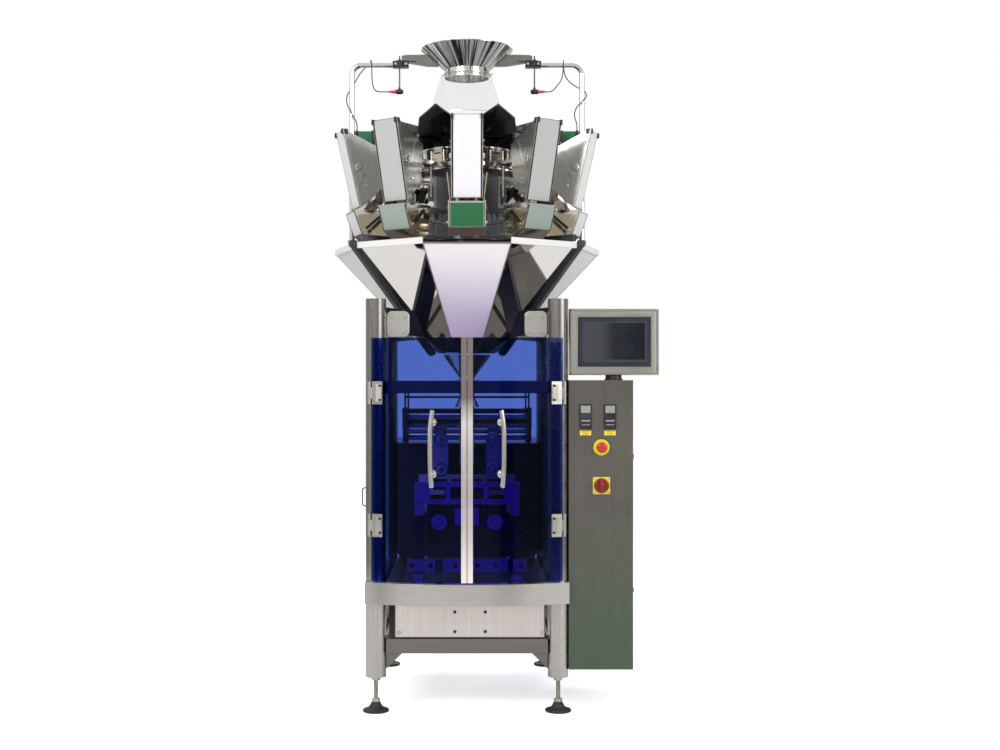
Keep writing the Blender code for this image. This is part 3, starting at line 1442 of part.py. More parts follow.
def smooth_route(points, spacing):
    """Points at even steps along a Catmull-Rom curve through the route's own points."""
    places = [Vector(point) for point in points]
    ends = [places[0] * 2 - places[1]] + places + [places[-1] * 2 - places[-2]]
    fine = []
    steps = 24
    for index in range(1, len(ends) - 2):
        before, start, end, after = ends[index - 1:index + 3]
        for step in range(steps):
            t = step / steps
            fine.append(
                0.5 * (
                    2 * start
                    + (end - before) * t
                    + (2 * before - 5 * start + 4 * end - after) * t ** 2
                    + (3 * start - before - 3 * end + after) * t ** 3
                )
            )
    fine.append(places[-1])
    total = sum((b - a).length for a, b in zip(fine, fine[1:]))
    count = max(2, round(total / spacing))
    picked = [fine[0]]
    travelled, wanted = 0.0, total / count
    for a, b in zip(fine, fine[1:]):
        length = (b - a).length
        while length > 0 and travelled + length >= wanted * len(picked) and len(picked) < count:
            share = (wanted * len(picked) - travelled) / length
            picked.append(a.lerp(b, share))
        travelled += length
    return picked + [fine[-1]]


BOOT_END_X = SENSOR_X + SENSOR_BODY_HALF + BOOT_LENGTH + GAP
LEAD_LEFT = (
    (-BOOT_END_X, SENSOR_Y, SENSOR_Z),
    (-0.334, SENSOR_Y, SENSOR_Z),
    (-0.352, -0.0180, 2.4020),
    (-0.369, -0.0180, 2.4070),
    (-0.379, -0.0180, 2.4260),
    (-0.383, -0.0180, 2.4560),
    (-0.384, -0.0180, 2.4900),
    (-0.385, -0.0155, 2.5180),
    (-0.387, -0.0070, 2.5300),
    (-0.392, 0.0070, 2.5300),
    (-0.400, 0.0155, 2.5190),
    (-0.414, 0.0180, 2.5060),
    (-0.430, 0.0185, 2.4880),
    (-0.447, 0.0185, 2.4620),
    (-0.463, 0.0175, 2.4320),
    (-0.479, 0.0110, 2.4060),
    (-0.487, 0.0010, 2.3800),
    (-0.484, -0.0100, 2.3540),
    (-0.472, -0.0160, 2.3280),
    (-0.459, -0.0155, 2.3040),
    (-0.448, -0.0070, 2.2840),
    (-GLAND_X, 0.0, 2.2660),
    (-GLAND_X, 0.0, GLAND_Z[1] + GAP),
)
LEAD_RIGHT = (
    (BOOT_END_X, SENSOR_Y, SENSOR_Z),
    (0.334, SENSOR_Y, SENSOR_Z),
    (0.349, -0.0180, 2.4090),
    (0.362, -0.0180, 2.4250),
    (0.375, -0.0180, 2.4400),
    (0.384, -0.0180, 2.4620),
    (0.388, -0.0180, 2.4920),
    (0.389, -0.0155, 2.5180),
    (0.390, -0.0070, 2.5300),
    (0.391, 0.0070, 2.5300),
    (0.392, 0.0160, 2.5160),
    (0.394, 0.0180, 2.4920),
    (0.402, 0.0180, 2.4680),
    (0.418, 0.0180, 2.4480),
    (0.440, 0.0180, 2.4320),
    (0.462, 0.0185, 2.4200),
    (0.478, 0.0120, 2.4080),
    (0.484, 0.0020, 2.3920),
    (0.477, -0.0110, 2.3760),
    (0.462, -0.0170, 2.3600),
    (0.446, -0.0150, 2.3440),
    (0.436, -0.0090, 2.3240),
    (0.436, -0.0030, 2.3020),
    (0.443, -0.0010, 2.2800),
    (GLAND_X, 0.0, 2.2640),
    (GLAND_X, 0.0, GLAND_Z[1] + GAP),
)


def lead(route):
    return swept(smooth_route(route, CABLE_RADIUS * 5), CABLE_RADIUS, 2)


# ---------------------------------------------------------------- the machine
for old in list(bpy.data.objects):
    bpy.data.objects.remove(old)

machine = bpy.data.objects.new("machine_axis", None)
machine.location = (MACHINE_X, MACHINE_Y, 0.0)
bpy.context.scene.collection.objects.link(machine)

BRUSHED = material("brushed_steel", (0.34, 0.33, 0.30), 0.35, 1.0)
POLISHED = material("polished_steel", (0.72, 0.71, 0.69), 0.12, 1.0)
COVER_WHITE = material("pale_cover", (0.85, 0.84, 0.85), 0.30, 0.2)
GATE_GREEN = material("gate_green", (0.03, 0.19, 0.07), 0.40, 0.0)
GATE_PALE = material("gate_pale", (0.47, 0.55, 0.51), 0.35, 0.3)
DARK_STEEL = material("dark_steel", (0.06, 0.06, 0.07), 0.40, 0.8)
BLACK = material("black_plastic", (0.02, 0.02, 0.02), 0.50, 0.0)
DOOR_BLUE = material("blue_clear", (0.03, 0.05, 0.60), 0.05, 0.0, 0.5)
CLEAR = material("clear_plastic", (0.85, 0.86, 0.88), 0.05, 0.0, 0.3)
YELLOW = material("warning_yellow", (0.90, 0.65, 0.02), 0.40, 0.0)
RED = material("signal_red", (0.70, 0.03, 0.02), 0.35, 0.0)
SCREEN = material("screen_black", (0.02, 0.025, 0.04), 0.15, 0.0)
BELT = material("belt_rubber", (0.10, 0.10, 0.12), 0.70, 0.0)
CABINET_GREY = material("cabinet_steel", (0.14, 0.13, 0.12), 0.40, 0.9)
LIGHT_METAL = material("light_metal", (0.60, 0.60, 0.60), 0.30, 0.9)

for end_name, end_y in (("front", POST_FRONT_Y), ("rear", POST_REAR_Y)):
    for side in ("left", "right"):
        keep(post(side, end_y, end_name == "front"), f"post_{end_name}_{side}", BRUSHED)
        keep(foot(side, end_y), f"foot_{end_name}_{side}", BLACK)

keep(base_frame(), "base_frame", BRUSHED)
keep(bow_rail(), "bow_rail", BRUSHED)
keep(upper_frame(), "upper_frame", BRUSHED)
keep(rear_casing(), "rear_casing", DARK_STEEL)
keep(forming_tube(), "forming_tube", POLISHED)
keep(film_frame(), "film_frame", LIGHT_METAL)
keep(jaw_guide_frame(), "jaw_guide_frame", DARK_STEEL)
keep(vertical_sealer(), "vertical_sealer", LIGHT_METAL)
keep(jaw(-1), "jaw_front", LIGHT_METAL)
keep(jaw(1), "jaw_rear", LIGHT_METAL)
keep(film_shaft(), "film_shaft", LIGHT_METAL, pivot=(0.0, SHAFT_Y, SHAFT_Z))

for side in ("left", "right"):
    keep(belt_unit(side), f"pull_belt_{side}", BELT)
    hinge = (side_sign(side) * HINGE_AXIS[0], HINGE_AXIS[1], DOOR_Z[0])
    keep(door(side), f"door_{side}", DOOR_BLUE, pivot=hinge)
    keep(door_handle(side), f"door_handle_{side}", POLISHED, pivot=hinge)

keep(cabinet(), "cabinet", CABINET_GREY)
for number, offset in enumerate(CONTROLLER_X, start=1):
    keep(controller(offset), f"temperature_controller_{number}", BLACK)
keep(estop_collar(), "estop_collar", YELLOW)
keep(estop_button(), "estop_button", RED)
keep(switch_plate(), "switch_plate", YELLOW)
knob_axis = (CABINET_LEFT + KNOB_X, CABINET_Y[0], SWITCH_Z)
keep(switch_knob(), "switch_knob", RED, pivot=knob_axis)
keep(hmi_pivot(), "screen_pivot", BLACK)
screen_axis = (PIVOT_X, PIVOT_Y, hmi_bottom())
keep(hmi_housing(), "screen_housing", LIGHT_METAL, pivot=screen_axis)
keep(hmi_screen(), "touch_screen", SCREEN, pivot=screen_axis)

keep(weigher_support(), "weigher_support", DARK_STEEL)
keep(discharge_funnel(), "discharge_funnel", POLISHED, smooth=20.0)
keep(weigher_core(), "weigher_core", DARK_STEEL)
keep(feed_hoppers(), "feed_hoppers", COVER_WHITE, smooth=20.0)
keep(weigh_hoppers(), "weigh_hoppers", POLISHED, smooth=20.0)
keep(linear_feeders(), "linear_feeders", POLISHED, smooth=20.0)
keep(dispersion_cone(), "dispersion_cone", POLISHED)
for head in range(HEADS):
    turn = head * 2 * HALF_SECTOR
    axis_radius, axis_z = gate_axis()
    hinge = (axis_radius * math.sin(turn), -axis_radius * math.cos(turn), axis_z)
    gate_finish = GATE_GREEN if head in (0, HEADS // 2) else GATE_PALE
    keep(around(weigh_gate(), turn), f"weigh_gate_{head + 1}", gate_finish, pivot=hinge)

keep(infeed_cone(), "infeed_cone", POLISHED)
keep(clear_skirt(), "clear_skirt", CLEAR)
for side, route in (("left", LEAD_LEFT), ("right", LEAD_RIGHT)):
    keep(funnel_arm(side), f"funnel_arm_{side}", LIGHT_METAL)
    keep(level_sensor(side), f"level_sensor_{side}", BLACK)
    keep(lead(route), f"sensor_lead_{side}", BLACK)
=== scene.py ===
"""Looks of the vertical form fill sealer and its ten-head weigher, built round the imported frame.

Pieces are drawn in the machine's own frame, about the line down which the product falls, and
are moved to that line's place in the frame when they are made.
"""
import math

import bmesh
import bpy
from mathutils import Matrix, Vector


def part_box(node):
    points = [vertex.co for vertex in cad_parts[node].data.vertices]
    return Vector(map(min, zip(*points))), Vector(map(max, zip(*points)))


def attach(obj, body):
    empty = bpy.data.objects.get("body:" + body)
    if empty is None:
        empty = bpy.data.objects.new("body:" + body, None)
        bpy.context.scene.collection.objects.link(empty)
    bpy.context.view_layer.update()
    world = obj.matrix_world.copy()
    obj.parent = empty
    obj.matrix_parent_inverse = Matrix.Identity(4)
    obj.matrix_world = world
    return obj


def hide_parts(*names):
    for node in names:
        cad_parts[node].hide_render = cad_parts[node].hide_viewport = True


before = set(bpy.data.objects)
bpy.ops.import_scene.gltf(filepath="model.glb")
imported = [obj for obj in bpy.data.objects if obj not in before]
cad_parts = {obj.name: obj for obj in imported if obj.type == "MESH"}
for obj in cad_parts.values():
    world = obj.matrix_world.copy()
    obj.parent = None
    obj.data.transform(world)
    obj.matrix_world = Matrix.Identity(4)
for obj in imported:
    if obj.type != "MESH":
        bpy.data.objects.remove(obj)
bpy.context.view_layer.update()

CONE_LOW, CONE_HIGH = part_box("infeed_cone")
AXIS = Vector(((CONE_LOW[0] + CONE_HIGH[0]) / 2, (CONE_LOW[1] + CONE_HIGH[1]) / 2, 0.0))


def span(node):
    """A CAD node's three ranges, in the machine's own frame."""
    low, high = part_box(node)
    return [(low[i] - AXIS[i], high[i] - AXIS[i]) for i in range(3)]


def middle(pair):
    return (pair[0] + pair[1]) / 2


# ---------------------------------------------------------------- sizes
GAP = 0.0003
POST = span("post_rear_right")
POST_X = middle(POST[0])
POST_Y = middle(POST[1])
POST_RADIUS = (POST[0][1] - POST[0][0]) / 2
POST_WALL = 0.003
FOOT = span("foot_rear_right")
NUT_HEIGHT = 0.014
PAD_HEIGHT = 0.036
BEAM = 0.04
RAIL = span("bow_rail")
RAIL_BOW = 0.068
DOOR_BOW = 0.06
DOOR_SHEET = 0.005
DOOR_HALF_SPAN = 0.354
DOOR_BACK_Y = -0.504
DOOR_Z = span("door_left")[2]
STRIP_WIDTH = 0.0215
STRIP_THICKNESS = 0.003
HINGE_Z = (0.7, 1.189)
HINGE_HEIGHT = 0.084
HINGE_LEAF = 0.042
HINGE_BARREL = 0.0065
HINGE_AXIS = (0.3605, -0.5065)
HANDLE_X = 0.1295
HANDLE_Z = (0.843, 1.128)
HANDLE_KINKS = (0.893, 1.082)
HANDLE_SWAY = 0.0035
HANDLE_RADIUS = 0.0095
HANDLE_REACH = 0.048
STANDOFF_RADIUS = 0.0165

HEADS = 10
SECTOR = 2 * math.pi / HEADS
CORNER = 1 / math.cos(SECTOR / 2)
FUNNEL_TOP = (0.5, 1.743)
FUNNEL_WAIST = (0.195, 1.404)
FUNNEL_MOUTH = (0.105, 1.348)
LIP_TOP = 1.765
FEED_OUTLINE = ((0.457, 1.915), (0.525, 2.216), (0.36, 2.135), (0.375, 1.985))
FEED_HALF = 0.055
COVER_HALF = 0.0595
WEIGH_OUTLINE = ((0.488, 1.903), (0.452, 1.806), (0.405, 1.776), (0.352, 1.79), (0.335, 1.903))
WEIGH_HALF = 0.0695
GATE_BARREL = 0.005
CORE_RADIUS = 0.133
DRUM_RADIUS = 0.2
DRUM_Z = (2.056, 2.154)

DOOR_RADIUS = (DOOR_HALF_SPAN ** 2 + DOOR_BOW ** 2) / (2 * DOOR_BOW)


# ---------------------------------------------------------------- shells: (points, faces)
def block(x_range, y_range, z_range):
    xs, ys, zs = sorted(x_range), sorted(y_range), sorted(z_range)
    points = [(x, y, z) for z in zs for y in ys for x in xs]
    faces = [(0, 1, 3, 2), (4, 6, 7, 5), (0, 4, 5, 1), (2, 3, 7, 6), (0, 2, 6, 4), (1, 5, 7, 3)]
    return points, faces


def prism(outline, low, high, along="Z"):
    place = {
        "X": lambda u, v, w: (w, u, v),
        "Y": lambda u, v, w: (u, w, v),
        "Z": lambda u, v, w: (u, v, w),
    }[along]
    count = len(outline)
    points = [place(u, v, low) for u, v in outline] + [place(u, v, high) for u, v in outline]
    faces = [tuple(range(count)), tuple(range(2 * count - 1, count - 1, -1))]
    for step in range(count):
        after = (step + 1) % count
        faces.append((step, after, after + count, step + count))
    return points, faces


def lathe(profile, sides=48, centre=(0.0, 0.0, 0.0), along="Z", start=0.0):
    """A closed outline of (radius, height) points spun about an axis through centre."""
    place = {
        "X": lambda a, b, h: (h, a, b),
        "Y": lambda a, b, h: (a, h, b),
        "Z": lambda a, b, h: (a, b, h),
    }[along]
    points, rings = [], []
    for radius, height in profile:
        ring = []
        for step in range(1 if radius < 1e-6 else sides):
            angle = start + 2 * math.pi * step / sides
            spot = place(radius * math.cos(angle), radius * math.sin(angle), height)
            ring.append(len(points))
            points.append(tuple(spot[i] + centre[i] for i in range(3)))
        rings.append(ring if len(ring) > 1 else ring * sides)
    faces = []
    for index, ring in enumerate(rings):
        other = rings[(index + 1) % len(rings)]
        for step in range(sides):
            after = (step + 1) % sides
            corners = list(dict.fromkeys([ring[step], ring[after], other[after], other[step]]))
            if len(corners) > 2:
                faces.append(tuple(corners))
    return points, faces


def rod(start, end, radius, sides=24, ease=0.0):
    """A round bar between two points, its ends chamfered by ease."""
    start, end = Vector(start), Vector(end)
    length = (end - start).length
    profile = [(0.0, 0.0), (radius - ease, 0.0), (radius, ease)]
    profile += [(radius, length - ease), (radius - ease, length), (0.0, length)]
    if ease <= 0:
        profile = [(0.0, 0.0), (radius, 0.0), (radius, length), (0.0, length)]
    points, faces = lathe(profile, sides)
    turn = Vector((0, 0, 1)).rotation_difference(end - start).to_matrix()
    return [tuple(start + turn @ Vector(point)) for point in points], faces


def sweep(route, radius, sides=12):
    """A round tube along the route, with flat ends; radius is a number or one for each point."""
    route = [Vector(point) for point in route]
    radii = radius if isinstance(radius, (list, tuple)) else [radius] * len(route)
    tangents = []
    for index in range(len(route)):
        before, after = route[max(index - 1, 0)], route[min(index + 1, len(route) - 1)]
        tangents.append((after - before).normalized())
    lead = Vector((0, 0, 1)) if abs(tangents[0].z) < 0.9 else Vector((0, 1, 0))
    side = tangents[0].cross(lead).normalized()
    points, faces = [], []
    for index, (spot, tangent) in enumerate(zip(route, tangents)):
        if index:
            side = (tangents[index - 1].rotation_difference(tangent) @ side).normalized()
        other = tangent.cross(side).normalized()
        for step in range(sides):
            angle = 2 * math.pi * step / sides
            offset = side * math.cos(angle) + other * math.sin(angle)
            points.append(tuple(spot + offset * radii[index]))
    for index in range(len(route) - 1):
        for step in range(sides):
            after = (step + 1) % sides
            base, top = index * sides, (index + 1) * sides
            faces.append((base + step, base + after, top + after, top + step))
    faces.append(tuple(range(sides)))
    faces.append(tuple(range(len(points) - sides, len(points))))
    return points, faces


def bar(start, end, width, depth):
    """A square bar between two points, its depth lying in the upright plane through them."""
    start, end = Vector(start), Vector(end)
    forward = (end - start).normalized()
    sideways = forward.cross(Vector((0, 0, 1)))
    sideways = sideways.normalized() if sideways.length > 1e-4 else Vector((1, 0, 0))
    upward = sideways.cross(forward)
    points, faces = block((-width / 2, width / 2), (-depth / 2, depth / 2), (0, (end - start).length))
    turned = [tuple(start + sideways * x + upward * y + forward * z) for x, y, z in points]
    return turned, faces


def radial(outline, half, aside=0.0):
    """An outline of (radius, height) pushed across the front head."""
    return prism([(-radius, height) for radius, height in outline], aside - half, aside + half, "X")


def moved(shell, offset):
    return [tuple(Vector(point) + Vector(offset)) for point in shell[0]], shell[1]


def around(shell, head):
    """The front head's shell, turned to another head."""
    turn = Matrix.Rotation(head * SECTOR, 3, "Z")
    return [tuple(turn @ Vector(point)) for point in shell[0]], shell[1]


def flipped(shell):
    """The shell in a mirror on the machine's middle plane."""
    return [(-x, y, z) for x, y, z in shell[0]], shell[1]


def sided(shell, side):
    return shell if side == "right" else flipped(shell)


def both(*shells):
    """The right side's shells and their mirror images on the left."""
    return [made for shell in shells for made in (flipped(shell), shell)]


def ten(*shells):
    """The front head's shells, repeated at all the heads."""
    return [around(shell, head) for head in range(HEADS) for shell in shells]


def arc(centre, radius, start, end, steps):
    places = [start + (end - start) * step / steps for step in range(steps + 1)]
    return [(centre[0] + radius * math.cos(a), centre[1] + radius * math.sin(a)) for a in places]


def bow(half_span, end_y, rise, steps, low_x, high_x):
    """Points on a forward-bowed arc between two x places."""
    radius = (half_span ** 2 + rise ** 2) / (2 * rise)
    points = []
    for step in range(steps + 1):
        x = low_x + (high_x - low_x) * step / steps
        points.append((x, end_y - math.sqrt(radius ** 2 - x ** 2) + radius - rise))
    return points


def door_back(x):
    return DOOR_BACK_Y - math.sqrt(DOOR_RADIUS ** 2 - x ** 2) + DOOR_RADIUS - DOOR_BOW


def inset(outline, distances):
    """The outline with each edge moved inwards by its own distance, or outwards if negative."""
    count = len(outline)
    pairs = [(outline[i], outline[(i + 1) % count]) for i in range(count)]
    sense = 1.0 if sum(a[0] * b[1] - b[0] * a[1] for a, b in pairs) > 0 else -1.0
    edges = []
    for (start, end), distance in zip(pairs, distances):
        along = (Vector(end) - Vector(start)).normalized()
        edges.append((Vector(start) + Vector((-along.y, along.x)) * sense * distance, along))
    corners = []
    for i in range(count):
        (point_a, along_a), (point_b, along_b) = edges[i - 1], edges[i]
        between = point_b - point_a
        crossing = along_a.x * along_b.y - along_a.y * along_b.x
        reach = (between.x * along_b.y - between.y * along_b.x) / crossing
        corners.append(tuple(point_a + along_a * reach))
    return corners


# ---------------------------------------------------------------- pieces
def linked(name, data):
    made = bpy.data.objects.new(name, data)
    bpy.context.scene.collection.objects.link(made)
    return made


def meshed(name, builder):
    """The builder's faces as a mesh; the builder is spent."""
    mesh = bpy.data.meshes.new(name)
    builder.to_mesh(mesh)
    builder.free()
    return mesh


def shaded(mesh, angle):
    """Smooth shading, with creases where faces meet more sharply than the angle in degrees."""
    mesh.shade_smooth()
    mesh.set_sharp_from_angle(angle=math.radians(angle))
    return mesh


def eased(made, width, angle):
    """Rounds the edges that are sharper than the angle in degrees."""
    rounding = made.modifiers.new("rounded_edges", "BEVEL")
    rounding.width = width
    rounding.segments = 2
    rounding.limit_method = "ANGLE"
    rounding.angle_limit = math.radians(angle)
    rounding.harden_normals = True


def seated(made, body, replaces=()):
    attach(made, body)
    if replaces:
        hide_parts(*replaces)
    return made


def piece(name, shells, finish, body="frame", slot=None, replaces=(), ease=0.0, smooth=32.0):
    """One named piece from shells, in its place in the frame, riding on its body."""
    builder = bmesh.new()
    for points, faces in shells:
        corners = [builder.verts.new(Vector(point) + AXIS) for point in points]
        for face in faces:
            builder.faces.new([corners[index] for index in face])
    bmesh.ops.recalc_face_normals(builder, faces=builder.faces)
    mesh = meshed(name, builder)
    mesh.materials.append(finish)
    made = linked(name, shaded(mesh, smooth))
    if ease:
        eased(made, ease, 40.0)
    return seated(made, body, replaces)


# ---------------------------------------------------------------- camera
def camera():
    """Stands before the machine at chest height and looks level along +Y."""
    lens = bpy.data.cameras.new("camera")
    lens.lens = 51.6
    lens.sensor_width = 36.0
    lens.shift_x = 0.033
    lens.shift_y = 0.014
    lens.clip_end = 100.0
    made = linked("camera", lens)
    made.location = (AXIS.x, AXIS.y - 5.8, 1.203)
    made.rotation_euler = (math.radians(90.0), 0.0, 0.0)
    bpy.context.scene.camera = made


camera()


# ---------------------------------------------------------------- shared effects
def shade(text):
    """A colour written as on a screen, such as 96938c, in the renderer's linear values."""
    parts = [int(text[i:i + 2], 16) / 255 for i in (0, 2, 4)]
    return [p / 12.92 if p <= 0.04045 else ((p + 0.055) / 1.055) ** 2.4 for p in parts]


class Tree:
    """A node tree with short calls for adding and wiring nodes."""

    def __init__(self, tree):
        self.tree = tree

    def add(self, kind, **settings):
        node = self.tree.nodes.new(kind)
        for name, value in settings.items():
            setattr(node, name, value)
        return node

    def feed(self, socket, value):
        if isinstance(value, bpy.types.NodeSocket):
            self.tree.links.new(value, socket)
        else:
            socket.default_value = value

    def math(self, operation, first, second=0.0, clamp=False):
        node = self.add("ShaderNodeMath", operation=operation, use_clamp=clamp)
        self.feed(node.inputs[0], first)
        self.feed(node.inputs[1], second)
        return node.outputs[0]

    def spread(self, value, low, high, to_low=0.0, to_high=1.0):
        """The value's stretch from low to high, laid over another stretch."""
        node = self.add("ShaderNodeMapRange")
        for index, given in enumerate((value, low, high, to_low, to_high)):
            self.feed(node.inputs[index], given)
        return node.outputs[0]

    def blend(self, factor, first, second, kind="MIX"):
        node = self.add("ShaderNodeMix", data_type="RGBA", blend_type=kind)
        self.feed(node.inputs["Factor"], factor)
        self.feed(node.inputs[6], first)
        self.feed(node.inputs[7], second)
        return node.outputs[2]

    def noise(self, vector, scale, detail=3.0, roughness=0.55):
        node = self.add("ShaderNodeTexNoise")
        self.feed(node.inputs["Vector"], vector)
        self.feed(node.inputs["Scale"], scale)
        self.feed(node.inputs["Detail"], detail)
        self.feed(node.inputs["Roughness"], roughness)
        return node.outputs["Fac"]

    def stretched(self, vector, by):
        node = self.add("ShaderNodeVectorMath", operation="MULTIPLY")
        self.feed(node.inputs[0], vector)
        self.feed(node.inputs[1], by)
        return node.outputs[0]

    def group(self, group, **values):
        node = self.add("ShaderNodeGroup", node_tree=group)
        for name, value in values.items():
            self.feed(node.inputs[name.replace("_", " ")], value)
        return node


def new_group(name, inputs, outputs):
    group = bpy.data.node_groups.new(name, "ShaderNodeTree")
    for label, kind, value in inputs:
        socket = group.interface.new_socket(label, in_out="INPUT", socket_type=kind)
        socket.default_value = value
    for label in outputs:
        group.interface.new_socket(label, in_out="OUTPUT", socket_type="NodeSocketFloat")
    tree = Tree(group)
    return group, tree, tree.add("NodeGroupInput").outputs, tree.add("NodeGroupOutput").inputs


def brushing_group():
    """Fine lines of a brushed sheet; the stretch says which way they lie."""
    inputs = [
        ("Vector", "NodeSocketVector", (0, 0, 0)),
        ("Stretch", "NodeSocketVector", (8.0, 8.0, 600.0)),
    ]
    group, tree, given, out = new_group("brushing", inputs, ["Lines", "Bands"])
    place = tree.stretched(given["Vector"], given["Stretch"])
    fine = tree.noise(place, 1.0, 5.0, 0.7)
    bands = tree.noise(place, 0.13, 2.0, 0.5)
    tree.feed(out["Lines"], tree.spread(fine, 0.28, 0.72))
    tree.feed(out["Bands"], tree.spread(bands, 0.3, 0.7))
    return group


def handling_group():
    """Smudges left by hands and cloths, and the odd thin scratch."""
    inputs = [
        ("Vector", "NodeSocketVector", (0, 0, 0)),
        ("Smudge Scale", "NodeSocketFloat", 9.0),
        ("Scratch Scale", "NodeSocketFloat", 30.0),
    ]
    group, tree, given, out = new_group("handling", inputs, ["Smudges", "Scratches"])
    broad = tree.noise(given["Vector"], given["Smudge Scale"], 4.0, 0.6)
    tree.feed(out["Smudges"], tree.spread(broad, 0.42, 0.68))
    skewed = tree.add("ShaderNodeMapping")
    tree.feed(skewed.inputs["Vector"], given["Vector"])
    skewed.inputs["Rotation"].default_value = (0.7, 0.4, 0.9)
    skewed.inputs["Scale"].default_value = (1.0, 0.06, 1.0)
    cells = tree.add("ShaderNodeTexVoronoi", feature="DISTANCE_TO_EDGE")
    tree.feed(cells.inputs["Vector"], skewed.outputs["Vector"])
    tree.feed(cells.inputs["Scale"], given["Scratch Scale"])
    line = tree.spread(cells.outputs["Distance"], 0.0, 0.012, 1.0, 0.0)
    patchy = tree.spread(tree.noise(given["Vector"], 5.0), 0.52, 0.62)
    tree.feed(out["Scratches"], tree.math("MULTIPLY", line, patchy, clamp=True))
    return group


def grain_group():
    """The fine pebbling of moulded plastic and powder paint."""
    inputs = [
        ("Vector", "NodeSocketVector", (0, 0, 0)),
        ("Scale", "NodeSocketFloat", 900.0),
    ]
    group, tree, given, out = new_group("moulded_grain", inputs, ["Height", "Mottle"])
    tree.feed(out["Height"], tree.noise(given["Vector"], given["Scale"], 2.0, 0.5))
    mottle = tree.noise(given["Vector"], 24.0, 3.0, 0.6)
    tree.feed(out["Mottle"], tree.spread(mottle, 0.3, 0.7))
    return group


def dust_group():
    """Dust that settles on faces that look up, in uneven patches."""
    inputs = [
        ("Vector", "NodeSocketVector", (0, 0, 0)),
        ("Scale", "NodeSocketFloat", 14.0),
    ]
    group, tree, given, out = new_group("settled_dust", inputs, ["Dust"])
    split = tree.add("ShaderNodeSeparateXYZ")
    tree.feed(split.inputs[0], tree.add("ShaderNodeNewGeometry").outputs["Normal"])
    upward = tree.spread(split.outputs["Z"], 0.75, 1.0)
    patches = tree.spread(tree.noise(given["Vector"], given["Scale"]), 0.35, 0.75)
    tree.feed(out["Dust"], tree.math("MULTIPLY", upward, patches, clamp=True))
    return group


BRUSHING = brushing_group()
HANDLING = handling_group()
GRAIN = grain_group()
DUST = dust_group()

ALONG_X = (5.0, 620.0, 620.0)
ALONG_Y = (620.0, 5.0, 620.0)
ALONG_Z = (620.0, 620.0, 5.0)
ROUND_Z = (14.0, 14.0, 700.0)


# ---------------------------------------------------------------- finishes
def blank_finish(name):
    made = bpy.data.materials.new(name)
    made.use_nodes = True
    tree = Tree(made.node_tree)
    shader = made.node_tree.nodes["Principled BSDF"]
    place = tree.add("ShaderNodeTexCoord").outputs["Object"]
    return made, tree, shader, place


def bumped(tree, shader, height, strength, distance):
    bump = tree.add("ShaderNodeBump")
    tree.feed(bump.inputs["Height"], height)
    bump.inputs["Strength"].default_value = strength
    bump.inputs["Distance"].default_value = distance
    tree.feed(shader.inputs["Normal"], bump.outputs["Normal"])


def metal(name, colour, rough, lines=ALONG_X, streak=0.25, smudge=0.08, relief=0.25, painted_light_by_height=None, sheen=1.0):
    """Sheet or tube steel: brushed lines, smudges, scratches and a little dust, with painted light and
    shade that shifts the colour over a span of heights where one is given.
    """
    made, tree, shader, place = blank_finish(name)
    brushing = tree.group(BRUSHING, Vector=place, Stretch=lines)
    handling = tree.group(HANDLING, Vector=place)
    dust = tree.group(DUST, Vector=place).outputs["Dust"]
    base = (*shade(colour), 1.0)
    # Painted light and shade: the colour moves to a second one between two heights.
    if painted_light_by_height:
        split = tree.add("ShaderNodeSeparateXYZ")
        tree.feed(split.inputs[0], place)
        height = tree.spread(split.outputs["Z"], painted_light_by_height[1], painted_light_by_height[2])
        base = tree.blend(height, (*shade(painted_light_by_height[0]), 1.0), base)
    dark = tree.blend(1.0, base, (0.62, 0.62, 0.62, 1.0), "MULTIPLY")
    lined = tree.blend(tree.math("MULTIPLY", brushing.outputs["Lines"], streak), base, dark)
    banded = tree.blend(tree.math("MULTIPLY", brushing.outputs["Bands"], streak * 0.6), lined, dark)
    light = (0.55, 0.55, 0.54, 1.0)
    scratched = tree.blend(tree.math("MULTIPLY", handling.outputs["Scratches"], 0.13), banded, light)
    dusted = tree.blend(tree.math("MULTIPLY", dust, 0.12), scratched, light)
    tree.feed(shader.inputs["Base Color"], dusted)
    lined_rough = tree.spread(brushing.outputs["Lines"], 0.0, 1.0, rough * 0.85, rough * 1.2)
    smudged = tree.math("MULTIPLY", handling.outputs["Smudges"], smudge)
    tree.feed(shader.inputs["Roughness"], tree.math("ADD", lined_rough, smudged, clamp=True))
    shader.inputs["Metallic"].default_value = sheen
    bumped(tree, shader, brushing.outputs["Lines"], relief, 0.0004)
    return made


def coating(name, colour, rough, grain=900.0, relief=0.12, metallic=0.0, mottle=0.1, coat=0.0,
            wear=0.15):
    """Paint or moulded plastic: fine pebbling, faint mottling, smudges and settled dust."""
    made, tree, shader, place = blank_finish(name)
    pebbles = tree.group(GRAIN, Vector=place, Scale=grain)
    handling = tree.group(HANDLING, Vector=place, Smudge_Scale=14.0)
    dust = tree.group(DUST, Vector=place).outputs["Dust"]
    base = (*shade(colour), 1.0)
    dark = (*[part * 0.72 for part in base[:3]], 1.0)
    light = (*[part * 0.7 + 0.25 for part in base[:3]], 1.0)
    mottled = tree.blend(tree.math("MULTIPLY", pebbles.outputs["Mottle"], mottle), base, dark)
    marked = tree.blend(tree.math("MULTIPLY", handling.outputs["Scratches"], wear), mottled, light)
    dusted = tree.blend(tree.math("MULTIPLY", dust, 0.1), marked, light)
    tree.feed(shader.inputs["Base Color"], dusted)
    smudged = tree.math("MULTIPLY", handling.outputs["Smudges"], 0.1)
    tree.feed(shader.inputs["Roughness"], tree.math("ADD", smudged, rough, clamp=True))
    shader.inputs["Metallic"].default_value = metallic
    if coat:
        shader.inputs["Coat Weight"].default_value = coat
        shader.inputs["Coat Roughness"].default_value = 0.08
    bumped(tree, shader, pebbles.outputs["Height"], relief, 0.0002)
    return made


